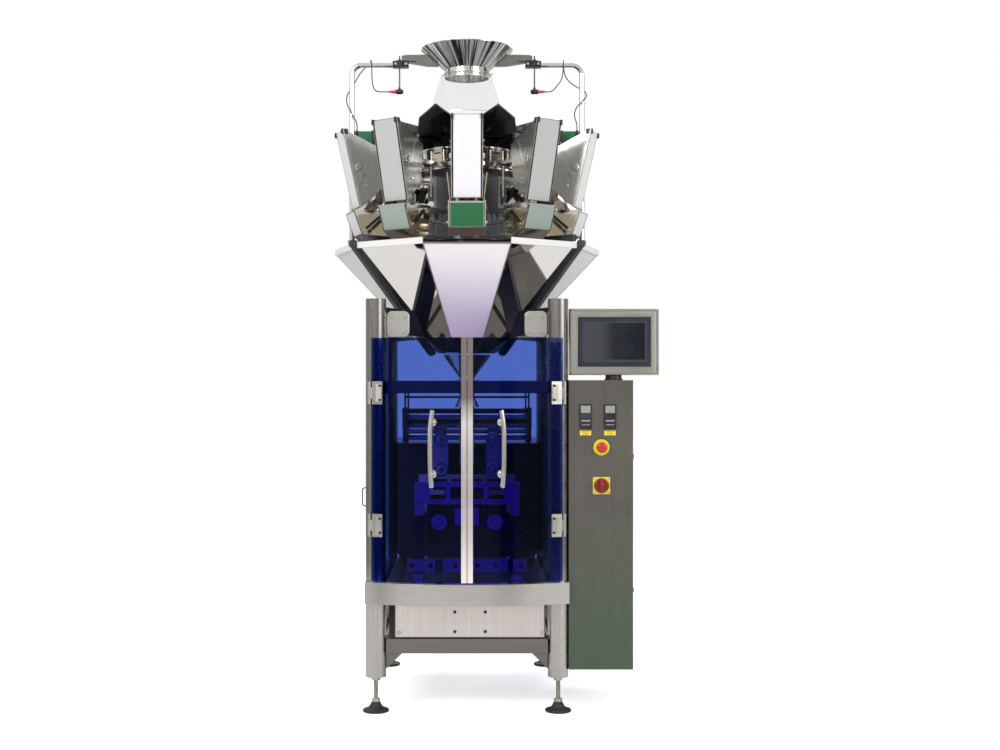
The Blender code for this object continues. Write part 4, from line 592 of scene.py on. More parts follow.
def clear_sheet(name, colour, rough, shadow, depth=1.0, gloss=0.5):
    """Clear acrylic, with wiping marks and hairline scratches; light passes through it tinted."""
    made, tree, shader, place = blank_finish(name)
    handling = tree.group(HANDLING, Vector=place, Smudge_Scale=4.0, Scratch_Scale=22.0)
    wiped = tree.noise(tree.stretched(place, (6.0, 6.0, 1.4)), 3.0, 4.0, 0.6)
    haze = tree.math("MULTIPLY", tree.spread(wiped, 0.45, 0.8), 0.05 * depth)
    scratches = tree.math("MULTIPLY", handling.outputs["Scratches"], 0.3 * depth)
    tree.feed(shader.inputs["Roughness"], tree.math("ADD", tree.math("ADD", haze, scratches), rough))
    base = (*shade(colour), 1.0)
    pale = (*[min(1.0, part * 1.25 + 0.02) for part in base[:3]], 1.0)
    marked = tree.blend(tree.math("MULTIPLY", handling.outputs["Scratches"], 0.3), base, pale)
    tree.feed(shader.inputs["Base Color"], marked)
    shader.inputs["Transmission Weight"].default_value = 1.0
    shader.inputs["IOR"].default_value = 1.15
    shader.inputs["Specular IOR Level"].default_value = gloss
    through = tree.add("ShaderNodeBsdfTransparent")
    through.inputs["Color"].default_value = (*shade(shadow), 1.0)
    path = tree.add("ShaderNodeLightPath")
    spread_light = tree.math("MAXIMUM", path.outputs["Is Shadow Ray"], path.outputs["Is Diffuse Ray"])
    mixed = tree.add("ShaderNodeMixShader")
    for index, given in enumerate((spread_light, shader.outputs[0], through.outputs[0])):
        tree.feed(mixed.inputs[index], given)
    tree.feed(made.node_tree.nodes["Material Output"].inputs["Surface"], mixed.outputs[0])
    return made


# Painted light: the posts are lighter below 0.44 m, fading into their own colour by 0.56 m.
POST_STEEL = metal("brushed_post_tube", "807d77", 0.25, ROUND_Z, 0.12, 0.06, 0.12,
                   painted_light_by_height=("b3b0a9", 0.44, 0.56))
RAIL_STEEL = metal("brushed_rail", "b9b6b0", 0.2, ALONG_X, 0.3)
FRAME_STEEL = metal("brushed_frame", "7b7773", 0.34, ALONG_X, 0.3)
KICK_STEEL = metal("brushed_kick_plate", "d6cfc9", 0.3, ALONG_Z, 0.34)
# Painted reflected shade: the cabinet turns darker and greener towards its bottom.
CABINET_STEEL = metal("brushed_cabinet", "6e6a64", 0.38, ALONG_Z, 0.4, painted_light_by_height=("5c6a5b", 0.25, 0.8))
HOUSING_STEEL = metal("brushed_housing", "a9a69e", 0.3, ALONG_X, 0.22)
MIRROR_STEEL = metal("mirror_panel", "dedad6", 0.035, ALONG_Z, 0.04, 0.03, 0.015)
POLISHED_STEEL = metal("polished_steel", "cfccc6", 0.09, ALONG_Z, 0.1, 0.06, 0.03)
SATIN_STEEL = metal("satin_steel", "b9b6ae", 0.24, ALONG_X, 0.2, 0.06, 0.1)
# Painted shade: the meeting strips turn darker towards their tops.
STRIP_STEEL = metal("strip_steel", "f4ece8", 0.1, ALONG_Z, 0.14, 0.06, 0.04, painted_light_by_height=("8a7d79", 1.17, 1.08))
HANDLE_STEEL = metal("handle_steel", "c9c5bd", 0.13, ALONG_Z, 0.12, 0.06, 0.05)
BRONZE_STEEL = metal("brown_mirror", "b8ab9c", 0.07, ALONG_X, 0.1, 0.04, 0.03)
# Painted reflection: feeder pans and the funnel's neck, steel like the rest, are darkened for the dark
# insides they mirror.
DARK_REFLECTION_STEEL = metal("steel_painted_dark_reflection", "34333a", 0.1, ALONG_Y, 0.15, 0.08, 0.03, sheen=0.45)
DARK_STEEL = metal("dark_steel", "4c4d52", 0.3, ALONG_Z, 0.25)

CORE_STEEL = coating("core_casting", "a5a7ac", 0.3, 700.0, 0.1, metallic=0.5, mottle=0.25)
# Painted light: the inner steel is tinted violet for the light that reaches it through the blue doors.
VIOLET_LIT_STEEL = coating("inner_steel_painted_violet_light", "bfa0c6", 0.34, 700.0, 0.06)
DARK_INNER = coating("inner_dark", "201a26", 0.62, 60.0, 0.02, wear=0.05)
# Painted sheen: a matt pale finish for steel sheets and covers at steep side angles, standing in for the
# light they catch.
SHEEN_PANEL = coating("side_panel_painted_sheen", "dcdcdb", 0.36, 500.0, 0.04, metallic=0.1, mottle=0.05)
# Painted reflection: a matt lilac white for the steel front and back funnel panels, standing in for what
# they mirror.
LILAC_REFLECTION_PANEL = coating("front_panel_painted_reflection", "f3eeef", 0.6, 500.0, 0.04, mottle=0.05)
WHITE_COVER = coating("white_cover", "dedbe0", 0.3, 500.0, 0.05, coat=0.2, mottle=0.04)
# Painted shade: a darker copy of the white cover for the covers beside the front and back.
SHADED_COVER = coating("cover_painted_shade", "b2b4b1", 0.32, 500.0, 0.05, coat=0.2, mottle=0.04)
GREEN_FILM = coating("green_film", "0b6134", 0.38, 700.0, 0.08)
# Painted sheen: a paler copy of the green film for the gates beside the front and back.
LIT_GREEN_FILM = coating("green_film_painted_sheen", "93a198", 0.32, 700.0, 0.08)
BLACK_PLASTIC = coating("black_plastic", "131316", 0.42)
BLACK_RUBBER = coating("black_rubber", "1b1b1c", 0.62, 1200.0, 0.25)
CABLE_SHEATH = coating("cable_sheath", "3a3b3f", 0.45, 1400.0, 0.15)
BELT_RUBBER = coating("belt_rubber", "6c6a80", 0.6, 1200.0, 0.25)
KNOB_RED = coating("knob_red", "7d1013", 0.3, coat=0.2)
SIGNAL_RED = coating("signal_red", "b81d20", 0.28, coat=0.3)
BOOT_RED = coating("boot_red", "d1383b", 0.4, 1100.0, 0.18)
SIGNAL_YELLOW = coating("signal_yellow", "dccf1c", 0.36)
LABEL_YELLOW = coating("label_yellow", "ecd23c", 0.45, 400.0, 0.04)
KEY_GREY = coating("key_grey", "8d8f93", 0.45)
DISPLAY_GREY = coating("display_grey", "8d918f", 0.18, 1500.0, 0.02, coat=0.5)
SCREEN_BEZEL = coating("screen_bezel", "141a24", 0.35)
SCREEN_FRAME = coating("screen_frame", "2a3342", 0.32)
SCREEN_GLASS = coating("screen_glass", "191c22", 0.1, 1500.0, 0.01, coat=0.8, wear=0.03)
# Painted shade: flat black standing in for the shade inside bores, gaps and slots.
OPENING_SHADE = coating("painted_opening_shade", "060607", 0.7)

BLUE_ACRYLIC = clear_sheet("blue_acrylic", "4b66be", 0.015, "a860e0", gloss=0.25)
CLEAR_PLASTIC = clear_sheet("clear_plastic", "f5f5f6", 0.06, "f6f6f6", 1.6)


# ---------------------------------------------------------------- leads
SENSOR_X, SENSOR_Y, SENSOR_Z = 0.272, -0.018, 2.402
BOOT_END_X = SENSOR_X + 0.047 + GAP
GLAND_X, GLAND_TOP = 0.445, 2.25
CABLE_RADIUS = 0.00225
LEAD_LEFT = (
    (-BOOT_END_X, SENSOR_Y, SENSOR_Z),
    (-0.334, SENSOR_Y, SENSOR_Z),
    (-0.352, -0.018, 2.402),
    (-0.369, -0.018, 2.407),
    (-0.379, -0.018, 2.426),
    (-0.383, -0.018, 2.456),
    (-0.384, -0.018, 2.49),
    (-0.385, -0.0155, 2.518),
    (-0.387, -0.007, 2.53),
    (-0.392, 0.007, 2.53),
    (-0.4, 0.0155, 2.519),
    (-0.414, 0.018, 2.506),
    (-0.43, 0.0185, 2.488),
    (-0.447, 0.0185, 2.462),
    (-0.463, 0.0175, 2.432),
    (-0.479, 0.011, 2.406),
    (-0.487, 0.001, 2.38),
    (-0.484, -0.01, 2.354),
    (-0.472, -0.016, 2.328),
    (-0.459, -0.0155, 2.304),
    (-0.448, -0.007, 2.284),
    (-GLAND_X, 0.0, 2.266),
    (-GLAND_X, 0.0, GLAND_TOP + GAP),
)
LEAD_RIGHT = (
    (BOOT_END_X, SENSOR_Y, SENSOR_Z),
    (0.334, SENSOR_Y, SENSOR_Z),
    (0.349, -0.018, 2.409),
    (0.362, -0.018, 2.425),
    (0.375, -0.018, 2.44),
    (0.384, -0.018, 2.462),
    (0.388, -0.018, 2.492),
    (0.389, -0.0155, 2.518),
    (0.39, -0.007, 2.53),
    (0.391, 0.007, 2.53),
    (0.392, 0.016, 2.516),
    (0.394, 0.018, 2.492),
    (0.402, 0.018, 2.468),
    (0.418, 0.018, 2.448),
    (0.44, 0.018, 2.432),
    (0.462, 0.0185, 2.42),
    (0.478, 0.012, 2.408),
    (0.484, 0.002, 2.392),
    (0.477, -0.011, 2.376),
    (0.462, -0.017, 2.36),
    (0.446, -0.015, 2.344),
    (0.436, -0.009, 2.324),
    (0.436, -0.003, 2.302),
    (0.443, -0.001, 2.28),
    (GLAND_X, 0.0, 2.264),
    (GLAND_X, 0.0, GLAND_TOP + GAP),
)


def smooth_route(points, steps):
    """Points along a Catmull-Rom curve through the route's own points."""
    places = [Vector(point) for point in points]
    ends = [places[0] * 2 - places[1]] + places + [places[-1] * 2 - places[-2]]
    fine = []
    for index in range(1, len(ends) - 2):
        before, start, end, after = ends[index - 1:index + 3]
        for step in range(steps):
            t = step / steps
            bend = (end - before) * t + (2 * before - 5 * start + 4 * end - after) * t ** 2
            fine.append(0.5 * (2 * start + bend + (3 * start - before - 3 * end + after) * t ** 3))
    return fine + [places[-1]]


def lead(side, route):
    path = smooth_route(route, 8)
    made = piece(
        f"lead_{side}", [sweep(path, CABLE_RADIUS, 12)], CABLE_SHEATH,
        slot="lead_sheath", replaces=[f"sensor_lead_{side}"], smooth=60.0,
    )


lead("left", LEAD_LEFT)
lead("right", LEAD_RIGHT)


# ---------------------------------------------------------------- light and surroundings
def surroundings():
    """A white studio: what the eye and mirrors see is white, what lights the object is softer."""
    world = bpy.data.worlds.new("studio")
    bpy.context.scene.world = world
    world.use_nodes = True
    tree = Tree(world.node_tree)
    ground = world.node_tree.nodes["Background"]
    path = tree.add("ShaderNodeLightPath")
    seen = tree.math("MAXIMUM", path.outputs["Is Camera Ray"], path.outputs["Is Glossy Ray"])
    seen = tree.math("MAXIMUM", seen, path.outputs["Is Transmission Ray"])
    tree.feed(ground.inputs["Strength"], tree.spread(seen, 0.0, 1.0, 0.55, 1.0))
    ground.inputs["Color"].default_value = (1.0, 1.0, 1.0, 1.0)


def lamp(name, place, aim, size, power):
    light = bpy.data.lights.new(name, "AREA")
    light.shape = "RECTANGLE"
    light.size, light.size_y = size
    light.energy = power
    made = linked(name, light)
    made.location = place
    made.rotation_euler = (Vector(aim) - Vector(place)).to_track_quat("-Z", "Y").to_euler()


def backdrop_finish():
    """Matt white floor paper that keeps the object's shadow."""
    made, tree, shader, place = blank_finish("floor_paper")
    paper = tree.blend(tree.noise(place, 3.0), (0.9, 0.9, 0.9, 1.0), (0.93, 0.93, 0.93, 1.0))
    tree.feed(shader.inputs["Base Color"], paper)
    shader.inputs["Roughness"].default_value = 0.9
    shader.inputs["Specular IOR Level"].default_value = 0.0
    seen = tree.add("ShaderNodeLightPath").outputs["Is Camera Ray"]
    shader.inputs["Emission Color"].default_value = (1.0, 1.0, 1.0, 1.0)
    tree.feed(shader.inputs["Emission Strength"], tree.math("MULTIPLY", seen, 0.62))
    return made


def studio_card(name, centre, across, height):
    """A dark card beyond the camera's view, which gives polished steel something to mirror."""
    made, tree, shader, place = blank_finish(name)
    cloth = tree.blend(tree.noise(place, 2.0), (0.02, 0.02, 0.022, 1.0), (0.04, 0.04, 0.045, 1.0))
    tree.feed(shader.inputs["Base Color"], cloth)
    shader.inputs["Roughness"].default_value = 0.9
    base = Vector(centre)
    inward = -Vector((base.x, base.y, 0.0)).normalized()
    side = Vector((-inward.y, inward.x, 0.0)) * across / 2
    rise = Vector((0, 0, height))
    builder = bmesh.new()
    corners = [base - side, base + side, base + side + rise, base - side + rise]
    builder.faces.new([builder.verts.new(corner) for corner in corners])
    mesh = meshed(name, builder)
    mesh.materials.append(made)
    card = linked(name, mesh)
    card.visible_camera = False
    card.visible_diffuse = False
    card.visible_transmission = False
    card.visible_shadow = False


FLOOR_HALF = 30.0
CARD_RING = 3.4
CARDS = ((0.5, 3.6), (0.25, 3.2), (0.6, 3.6), (0.3, 3.0), (0.45, 3.4), (0.35, 3.6), (0.5, 3.2))


def stage():
    bpy.context.scene.view_settings.view_transform = "Standard"
    surroundings()
    builder = bmesh.new()
    bmesh.ops.create_grid(builder, x_segments=1, y_segments=1, size=FLOOR_HALF)
    mesh = meshed("floor", builder)
    mesh.materials.append(backdrop_finish())
    floor = linked("floor", mesh)
    floor.location.z = -0.0005
    lamp("key_light", (-3.2, -4.5, 4.2), (0.0, 0.0, 1.3), (3.0, 2.4), 210.0)
    lamp("fill_light", (4.0, -3.8, 2.8), (0.0, 0.0, 1.2), (2.6, 2.6), 120.0)
    lamp("back_light", (0.5, 4.2, 4.6), (0.0, 0.0, 1.6), (3.0, 2.0), 140.0)
    for step, (across, height) in enumerate(CARDS):
        angle = math.radians(25.0 + step * 52.0)
        spot = (CARD_RING * math.cos(angle), CARD_RING * math.sin(angle), 0.0)
        studio_card(f"dark_card_{step + 1}", spot, across, height)


stage()


# ---------------------------------------------------------------- repeated fasteners
def repeat_tree(name, sockets):
    """A geometry tree with named inputs and a finish; gives its wires and what comes in."""
    tree = bpy.data.node_groups.new(name, "GeometryNodeTree")
    for label, kind in [("Geometry", "Geometry"), *sockets, ("Finish", "Material")]:
        tree.interface.new_socket(label, in_out="INPUT", socket_type=f"NodeSocket{kind}")
    tree.interface.new_socket("Geometry", in_out="OUTPUT", socket_type="NodeSocketGeometry")
    wires = Tree(tree)
    return wires, wires.add("NodeGroupInput").outputs


def real_repeat(wires, given, instances):
    """Ends a tree: its instances made real, in the finish that came in."""
    real = wires.add("GeometryNodeRealizeInstances")
    wires.feed(real.inputs[0], instances)
    finish = wires.add("GeometryNodeSetMaterial")
    wires.feed(finish.inputs["Geometry"], real.outputs[0])
    wires.feed(finish.inputs["Material"], given["Finish"])
    wires.feed(wires.add("NodeGroupOutput").inputs[0], finish.outputs[0])
    return wires.tree


def repeated(name, mesh, tree, values, body):
    """What the tree makes of the mesh and the values, as one plain mesh riding on its body."""
    made = linked(name, mesh)
    nodes = made.modifiers.new(tree.name, "NODES")
    nodes.node_group = tree
    for socket in tree.interface.items_tree:
        if socket.in_out == "INPUT" and socket.name in values:
            nodes[socket.identifier] = values[socket.name]
    graph = bpy.context.evaluated_depsgraph_get()
    made.data = bpy.data.meshes.new_from_object(made.evaluated_get(graph))
    made.modifiers.clear()
    return seated(made, body)


def fastener_tree():
    """Sets a domed head on a washer at each point, all facing the same way."""
    sizes = [(label, "Float") for label in ("Head Radius", "Head Height", "Washer Radius")]
    wires, given = repeat_tree("fasteners", sizes + [("Facing", "Rotation")])
    head = wires.add("GeometryNodeMeshCone")
    head.inputs["Vertices"].default_value = 14
    wires.feed(head.inputs["Radius Bottom"], given["Head Radius"])
    wires.feed(head.inputs["Radius Top"], wires.math("MULTIPLY", given["Head Radius"], 0.72))
    wires.feed(head.inputs["Depth"], given["Head Height"])
    washer = wires.add("GeometryNodeMeshCylinder")
    washer.inputs["Vertices"].default_value = 18
    wires.feed(washer.inputs["Radius"], given["Washer Radius"])
    wires.feed(washer.inputs["Depth"], wires.math("MULTIPLY", given["Head Height"], 0.4))
    joined = wires.add("GeometryNodeJoinGeometry")
    wires.feed(joined.inputs[0], head.outputs["Mesh"])
    wires.feed(joined.inputs[0], washer.outputs["Mesh"])
    placed = wires.add("GeometryNodeInstanceOnPoints")
    wires.feed(placed.inputs["Points"], given["Geometry"])
    wires.feed(placed.inputs["Instance"], joined.outputs[0])
    wires.feed(placed.inputs["Rotation"], given["Facing"])
    return real_repeat(wires, given, placed.outputs[0])


FASTENERS = fastener_tree()
FACING = {"-Y": (math.pi / 2, 0.0, 0.0), "+Z": (0.0, 0.0, 0.0), "+X": (0.0, math.pi / 2, 0.0),
          "-X": (0.0, -math.pi / 2, 0.0), "+Y": (-math.pi / 2, 0.0, 0.0)}


def fasteners(name, spots, radius, height, facing, finish, body="frame", washer=1.45):
    """Screws or bolts at the given spots, made one plain mesh."""
    mesh = bpy.data.meshes.new(name)
    mesh.from_pydata([Vector(spot) + AXIS for spot in spots], [], [])
    values = {
        "Head Radius": radius, "Head Height": height, "Washer Radius": radius * washer,
        "Facing": FACING[facing], "Finish": finish,
    }
    made = repeated(name, mesh, FASTENERS, values, body)
    shaded(made.data, 35.0)


# ---------------------------------------------------------------- rounded copies of CAD pieces
def softened(node, finish, body, ease=0.0012, smooth=32.0, zones=(), shaped=None):
    """A copy of a CAD node with whole flat faces and broken edges; zones add finishes by place."""
    name = f"{node}_finished"
    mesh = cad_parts[node].data.copy()
    mesh.name = name
    builder = bmesh.new()
    builder.from_mesh(mesh)
    bmesh.ops.remove_doubles(builder, verts=builder.verts, dist=1e-5)
    for vert in builder.verts if shaped else ():
        vert.co = shaped(vert.co - AXIS) + AXIS
    edges, verts = builder.edges, builder.verts
    bmesh.ops.dissolve_limit(builder, angle_limit=math.radians(0.6), verts=verts, edges=edges)
    builder.to_mesh(mesh)
    builder.free()
    mesh.materials.clear()
    for used in [finish] + [zone[0] for zone in zones]:
        mesh.materials.append(used)
    for polygon in mesh.polygons:
        spot = polygon.center - AXIS
        found = [index for index, zone in enumerate(zones) if zone[1](spot)]
        polygon.material_index = found[0] + 1 if found else 0
    made = linked(name, shaded(mesh, smooth))
    eased(made, ease, 50.0)
    return seated(made, body, [node])


# ---------------------------------------------------------------- posts, feet and frame
SIDES = ("left", "right")
ENDS = (("front", -1), ("rear", 1))


def post(side, end_name, end):
    spot = (POST_X if side == "right" else -POST_X, end * POST_Y, 0.0)
    low, high = POST[2]
    inner = POST_RADIUS - POST_WALL
    rim = 0.0006
    floor = low + 0.02
    outside = [
        (POST_RADIUS - rim, high), (POST_RADIUS, high - rim), (POST_RADIUS, low + rim),
        (POST_RADIUS - rim, low), (0.0, low),
    ]
    inside_line = [(0.0, floor), (inner, floor), (inner, high - rim), (inner + rim, high)]
    piece(
        f"post_tube_{end_name}_{side}", [lathe(outside + inside_line, 72, spot)], POST_STEEL,
        slot="brushed_steel", replaces=[f"post_{end_name}_{side}"],
    )
    # Painted shade: a black sleeve inside the open top stands in for the shade in the tube.
    bore_shade = [(inner - skin, z) for skin, z in (
        (0.0002, high - 0.004), (0.0002, floor + 0.002), (0.001, floor + 0.002), (0.001, high - 0.004))]
    piece(f"post_bore_shade_{end_name}_{side}", [lathe(bore_shade, 48, spot)], OPENING_SHADE, slot="black_plastic")


def foot(side, end_name, end):
    """A bell pad with a ribbed skirt, a threaded stud and two hexagon nuts."""
    spot = (POST_X if side == "right" else -POST_X, end * POST_Y, 0.0)
    pad = (FOOT[0][1] - FOOT[0][0]) / 2
    top = POST[2][0] - GAP
    crown = PAD_HEIGHT
    bell = [(0.0, 0.0), (pad - 0.004, 0.0), (pad - 0.001, 0.0015), (pad, 0.005), (pad - 0.0008, 0.009)]
    for step in range(11):
        share = step / 10
        sink = math.cos(share * math.pi / 2) ** 1.6
        radius = (pad - 0.004) * (1 - share) + 0.017 * share - 0.006 * math.sin(share * math.pi)
        bell.append((radius, 0.011 + (crown - 0.013) * (1 - sink)))
    bell += [(0.0165, crown - 0.001), (0.0155, crown), (0.0, crown)]
    piece(
        f"foot_pad_{end_name}_{side}", [lathe(bell, 56, spot)], BLACK_RUBBER,
        slot="black_plastic", replaces=[f"foot_{end_name}_{side}"], smooth=50.0,
    )
    pitch, crest, root = 0.0018, 0.008, 0.007
    thread = [(0.0, crown)]
    height = crown
    while height < top - 0.002:
        thread += [(root, height), (crest, height + pitch / 2)]
        height += pitch
    thread += [(root, top), (0.0, top)]
    shells = [lathe(thread, 20, spot)]
    for gap, low in ((0.0004, crown), (0.0, top - NUT_HEIGHT)):
        high = low + NUT_HEIGHT
        nut = [(0.0, low + gap), (0.015, low + gap), (0.016, low + 0.002), (0.016, high - 0.002),
               (0.015, high), (0.0, high)]
        shells.append(lathe(nut, 6, spot))
    piece(f"foot_stud_{end_name}_{side}", shells, SATIN_STEEL, slot="satin_steel", smooth=20.0)


def bow_rail():
    """The bowed sill: a top sheet notched for the posts, a front skirt and a back wall."""
    end_x, (low, high) = RAIL[0][1], RAIL[2]
    end_y = -POST_Y - POST_RADIUS - 0.03
    back_y = -POST_Y - BEAM / 2 - GAP
    sheet = 0.004
    front = bow(end_x, end_y, RAIL_BOW, 64, -end_x, end_x)
    notch = POST_RADIUS + 0.0009
    reach = math.acos((back_y + POST_Y) / notch * -1)
    turns = [-math.pi / 2 + reach * (1 - step / 12) for step in range(25)]
    right = [(POST_X + notch * math.cos(a), -POST_Y + notch * math.sin(a)) for a in turns]
    left = [(-x, y) for x, y in reversed(right)]
    top = front + [(end_x, back_y)] + right + left + [(-end_x, back_y)]
    inner = bow(end_x - sheet, end_y + sheet, RAIL_BOW, 64, -end_x + sheet, end_x - sheet)
    skirt = front + inner[::-1]
    wall_y = -POST_Y - POST_RADIUS - sheet - GAP
    shells = [prism(top, high - sheet, high), prism(skirt, low, high - sheet * 0.5)]
    for sign in (-1, 1):
        ends = (sign * (end_x - sheet), sign * end_x)
        shells.append(block(ends, (end_y + 0.001, wall_y + sheet), (low, high - sheet * 0.5)))
    shells.append(block((-0.29, 0.29), (wall_y, wall_y + sheet), (low, high - sheet * 0.5)))
    piece("bow_sill", shells, RAIL_STEEL, slot="brushed_steel", replaces=["bow_rail"],
          ease=0.0008, smooth=25.0)


def kick_plate():
    """The plate between the rings with four screws, the two bolts beside it, and black strips of painted
    shade in the gaps beside and under it.
    """
    face_y = -POST_Y - BEAM / 2 - GAP
    plate = block((-0.266, 0.286), (face_y - 0.0016, face_y), (0.281, 0.43))
    piece("kick_plate", [plate], KICK_STEEL, slot="brushed_steel", ease=0.0005)
    # Painted shade: thin black strips where the plate meets the ring and the left post.
    gap_shades = [block((-0.289, 0.289), (face_y - 0.0008, face_y), (0.2735, 0.28)),
             block((-0.289, -0.268), (face_y - 0.0008, face_y), (0.28, 0.43))]
    piece("kick_plate_gap_shade", gap_shades, OPENING_SHADE, slot="brushed_steel")
    screw_spots = [(x, face_y - 0.0024, z) for x in (-0.045, 0.068) for z in (0.301, 0.374)]
    fasteners("kick_plate_screws", screw_spots, 0.0042, 0.0026, "-Y", BLACK_PLASTIC)
    bolt_spots = [(x, face_y - 0.0032, 0.297) for x in (-0.252, 0.28)]
    fasteners("kick_plate_bolts", bolt_spots, 0.006, 0.005, "-Y", SATIN_STEEL)


def side_grip():
    """A small wire handle low on the left post, for lifting the side screen."""
    x, y = -POST_X - POST_RADIUS + 0.0015, -POST_Y + 0.01
    route = [(x, y, 0.765), (x - 0.01, y, 0.768), (x - 0.014, y, 0.776), (x - 0.014, y, 0.824),
             (x - 0.01, y, 0.832), (x, y, 0.835)]
    wire = sweep(smooth_route(route, 5), 0.0022, 12)
    piece("side_grip", [wire], BLACK_PLASTIC, slot="black_plastic", smooth=60.0)


for side in SIDES:
    for end_name, end in ENDS:
        post(side, end_name, end)
        foot(side, end_name, end)
bow_rail()
kick_plate()
side_grip()
softened("base_frame", FRAME_STEEL, "frame", 0.002)
softened("upper_frame", FRAME_STEEL, "frame", 0.002)


# ---------------------------------------------------------------- doors
def hinge_parts(height):
    """The right door's hinge at a height: fixed half, moving half and its screws' places."""
    axis_x, axis_y = HINGE_AXIS
    low, high = height - HINGE_HEIGHT / 2, height + HINGE_HEIGHT / 2
    knuckle = HINGE_HEIGHT / 4
    arm_x = (axis_x - HINGE_BARREL * 0.6, axis_x + HINGE_BARREL * 0.6)
    arm_y = (axis_y, -POST_Y - POST_RADIUS + 0.009)
    fixed = [rod((axis_x, axis_y, low), (axis_x, axis_y, high), 0.003, 16)]
    for start in (low, high - knuckle):
        end = (axis_x, axis_y, start + knuckle - GAP)
        fixed.append(rod((axis_x, axis_y, start), end, HINGE_BARREL, 28, 0.0006))
        fixed.append(block(arm_x, arm_y, (start + 0.0006, start + knuckle - 0.0008)))
    reach = knuckle - 0.0006
    outer = DOOR_HALF_SPAN
    inner = outer - HINGE_LEAF
    near_y = door_back(inner) - DOOR_SHEET
    far_y = DOOR_BACK_Y - DOOR_SHEET
    front_y = axis_y - HINGE_BARREL * 1.1
    leaf = [(outer - 0.012, far_y - 0.001), (axis_x, axis_y + 0.001), (axis_x, front_y + 0.001),
            (outer - 0.012, front_y - 0.001)]
    plate = [(inner, near_y - 0.0002), (outer - 0.003, far_y - 0.0002), (outer - 0.003, front_y),
             (inner, near_y - 0.0048)]
    rib = 0.0014
    raised = [(inner + 0.004, near_y - 0.0048), (outer - 0.01, front_y),
              (outer - 0.01, front_y - rib), (inner + 0.004, near_y - 0.0048 - rib)]
    barrel_ends = [(axis_x, axis_y, height - reach), (axis_x, axis_y, height + reach)]
    moving = [prism(leaf, height - reach, height + reach), prism(plate, low, high),
              rod(*barrel_ends, HINGE_BARREL, 28, 0.0006)]
    spots = [(inner + 0.01, near_y - 0.0066, z) for z in (low + 0.016, high - 0.016)]
    return fixed, moving, [prism(raised, low + 0.01, high - 0.01)], spots


def door(side):
    body = f"door_{side}"
    outline = bow(DOOR_HALF_SPAN, DOOR_BACK_Y, DOOR_BOW, 40, 0.001, DOOR_HALF_SPAN)
    front = [(x, y - DOOR_SHEET) for x, y in outline]
    sheet = sided(prism(outline + front[::-1], *DOOR_Z), side)
    piece(f"door_sheet_{side}", [sheet], BLUE_ACRYLIC, body, "blue_clear", [body], ease=0.0006, smooth=25.0)
    back = bow(DOOR_HALF_SPAN, DOOR_BACK_Y - DOOR_SHEET - 0.0002, DOOR_BOW, 8, 0.0012, STRIP_WIDTH)
    face = [(x, y - STRIP_THICKNESS + 0.0004) for x, y in back]
    strip = sided(prism(back + face[::-1], DOOR_Z[0] + 0.0005, DOOR_Z[1] - 0.0005), side)
    piece(f"meeting_strip_{side}", [strip], STRIP_STEEL, body, "polished_steel", ease=0.0007)
    hinges = [hinge_parts(height) for height in HINGE_Z]
    fixed, moving, raised = [
        [sided(shell, side) for parts in hinges for shell in parts[kind]] for kind in range(3)]
    sign = 1 if side == "right" else -1
    spots = [(sign * x, y, z) for parts in hinges for x, y, z in parts[3]]
    piece(f"hinge_fixed_{side}", fixed, SATIN_STEEL, "frame", "satin_steel", ease=0.0004)
    piece(f"hinge_leaf_{side}", moving, SATIN_STEEL, body, "satin_steel", ease=0.0006)
    piece(f"hinge_pad_{side}", raised, POLISHED_STEEL, body, "polished_steel", ease=0.0004)
    fasteners(f"hinge_screws_{side}", spots, 0.0032, 0.0018, "-Y", BLACK_PLASTIC, body)


def door_handle(side):
    """A bent bar with rounded ends on two turned standoffs."""
    body = f"door_{side}"
    hold_y = door_back(HANDLE_X) - DOOR_SHEET - HANDLE_REACH
    low, high = HANDLE_Z
    kink_low, kink_high = HANDLE_KINKS
    bends = [
        (-0.4, low), (0.3, (low + kink_low) / 2), (1.0, kink_low + 0.012), (1.3, kink_low + 0.05),
        (1.3, kink_high - 0.05), (0.8, kink_high - 0.012), (-0.4, (high + kink_high) / 2), (-1.5, high),
    ]
    route = [(HANDLE_X + HANDLE_SWAY * share, hold_y, z) for share, z in bends]
    path = smooth_route(route, 8)
    radii = [HANDLE_RADIUS] * len(path)
    radii[0] = radii[-1] = HANDLE_RADIUS * 0.55
    radii[1] = radii[-2] = HANDLE_RADIUS * 0.97
    near = door_back(HANDLE_X - STANDOFF_RADIUS) - DOOR_SHEET - GAP
    stem_end = hold_y - near + 0.002
    boss = [
        (0.0, 0.0), (STANDOFF_RADIUS, 0.0), (STANDOFF_RADIUS, -0.009), (STANDOFF_RADIUS - 0.002, -0.012),
        (0.0085, -0.0135), (0.0072, -0.018), (0.0072, stem_end), (0.0, stem_end),
    ]
    cap = [(0.0, 0.001), (0.0062, 0.001), (0.0062, -0.001), (0.0045, -0.0022), (0.0, -0.0022)]
    cap_y = hold_y - HANDLE_RADIUS + 0.0012
    shells = [sweep(path, radii, 28)]
    shells += [lathe(boss, 40, (HANDLE_X - 0.004, near, z), "Y") for z in HANDLE_KINKS]
    caps = [lathe(cap, 24, (HANDLE_X, cap_y, z), "Y") for z in HANDLE_KINKS]
    piece(
        f"door_handle_bar_{side}", [sided(shell, side) for shell in shells], HANDLE_STEEL,
        body, "polished_steel", [f"door_handle_{side}"], smooth=40.0,
    )
    caps = [sided(shell, side) for shell in caps]
    piece(f"handle_screw_caps_{side}", caps, SATIN_STEEL, body, "satin_steel")


for side in SIDES:
    door(side)
    door_handle(side)


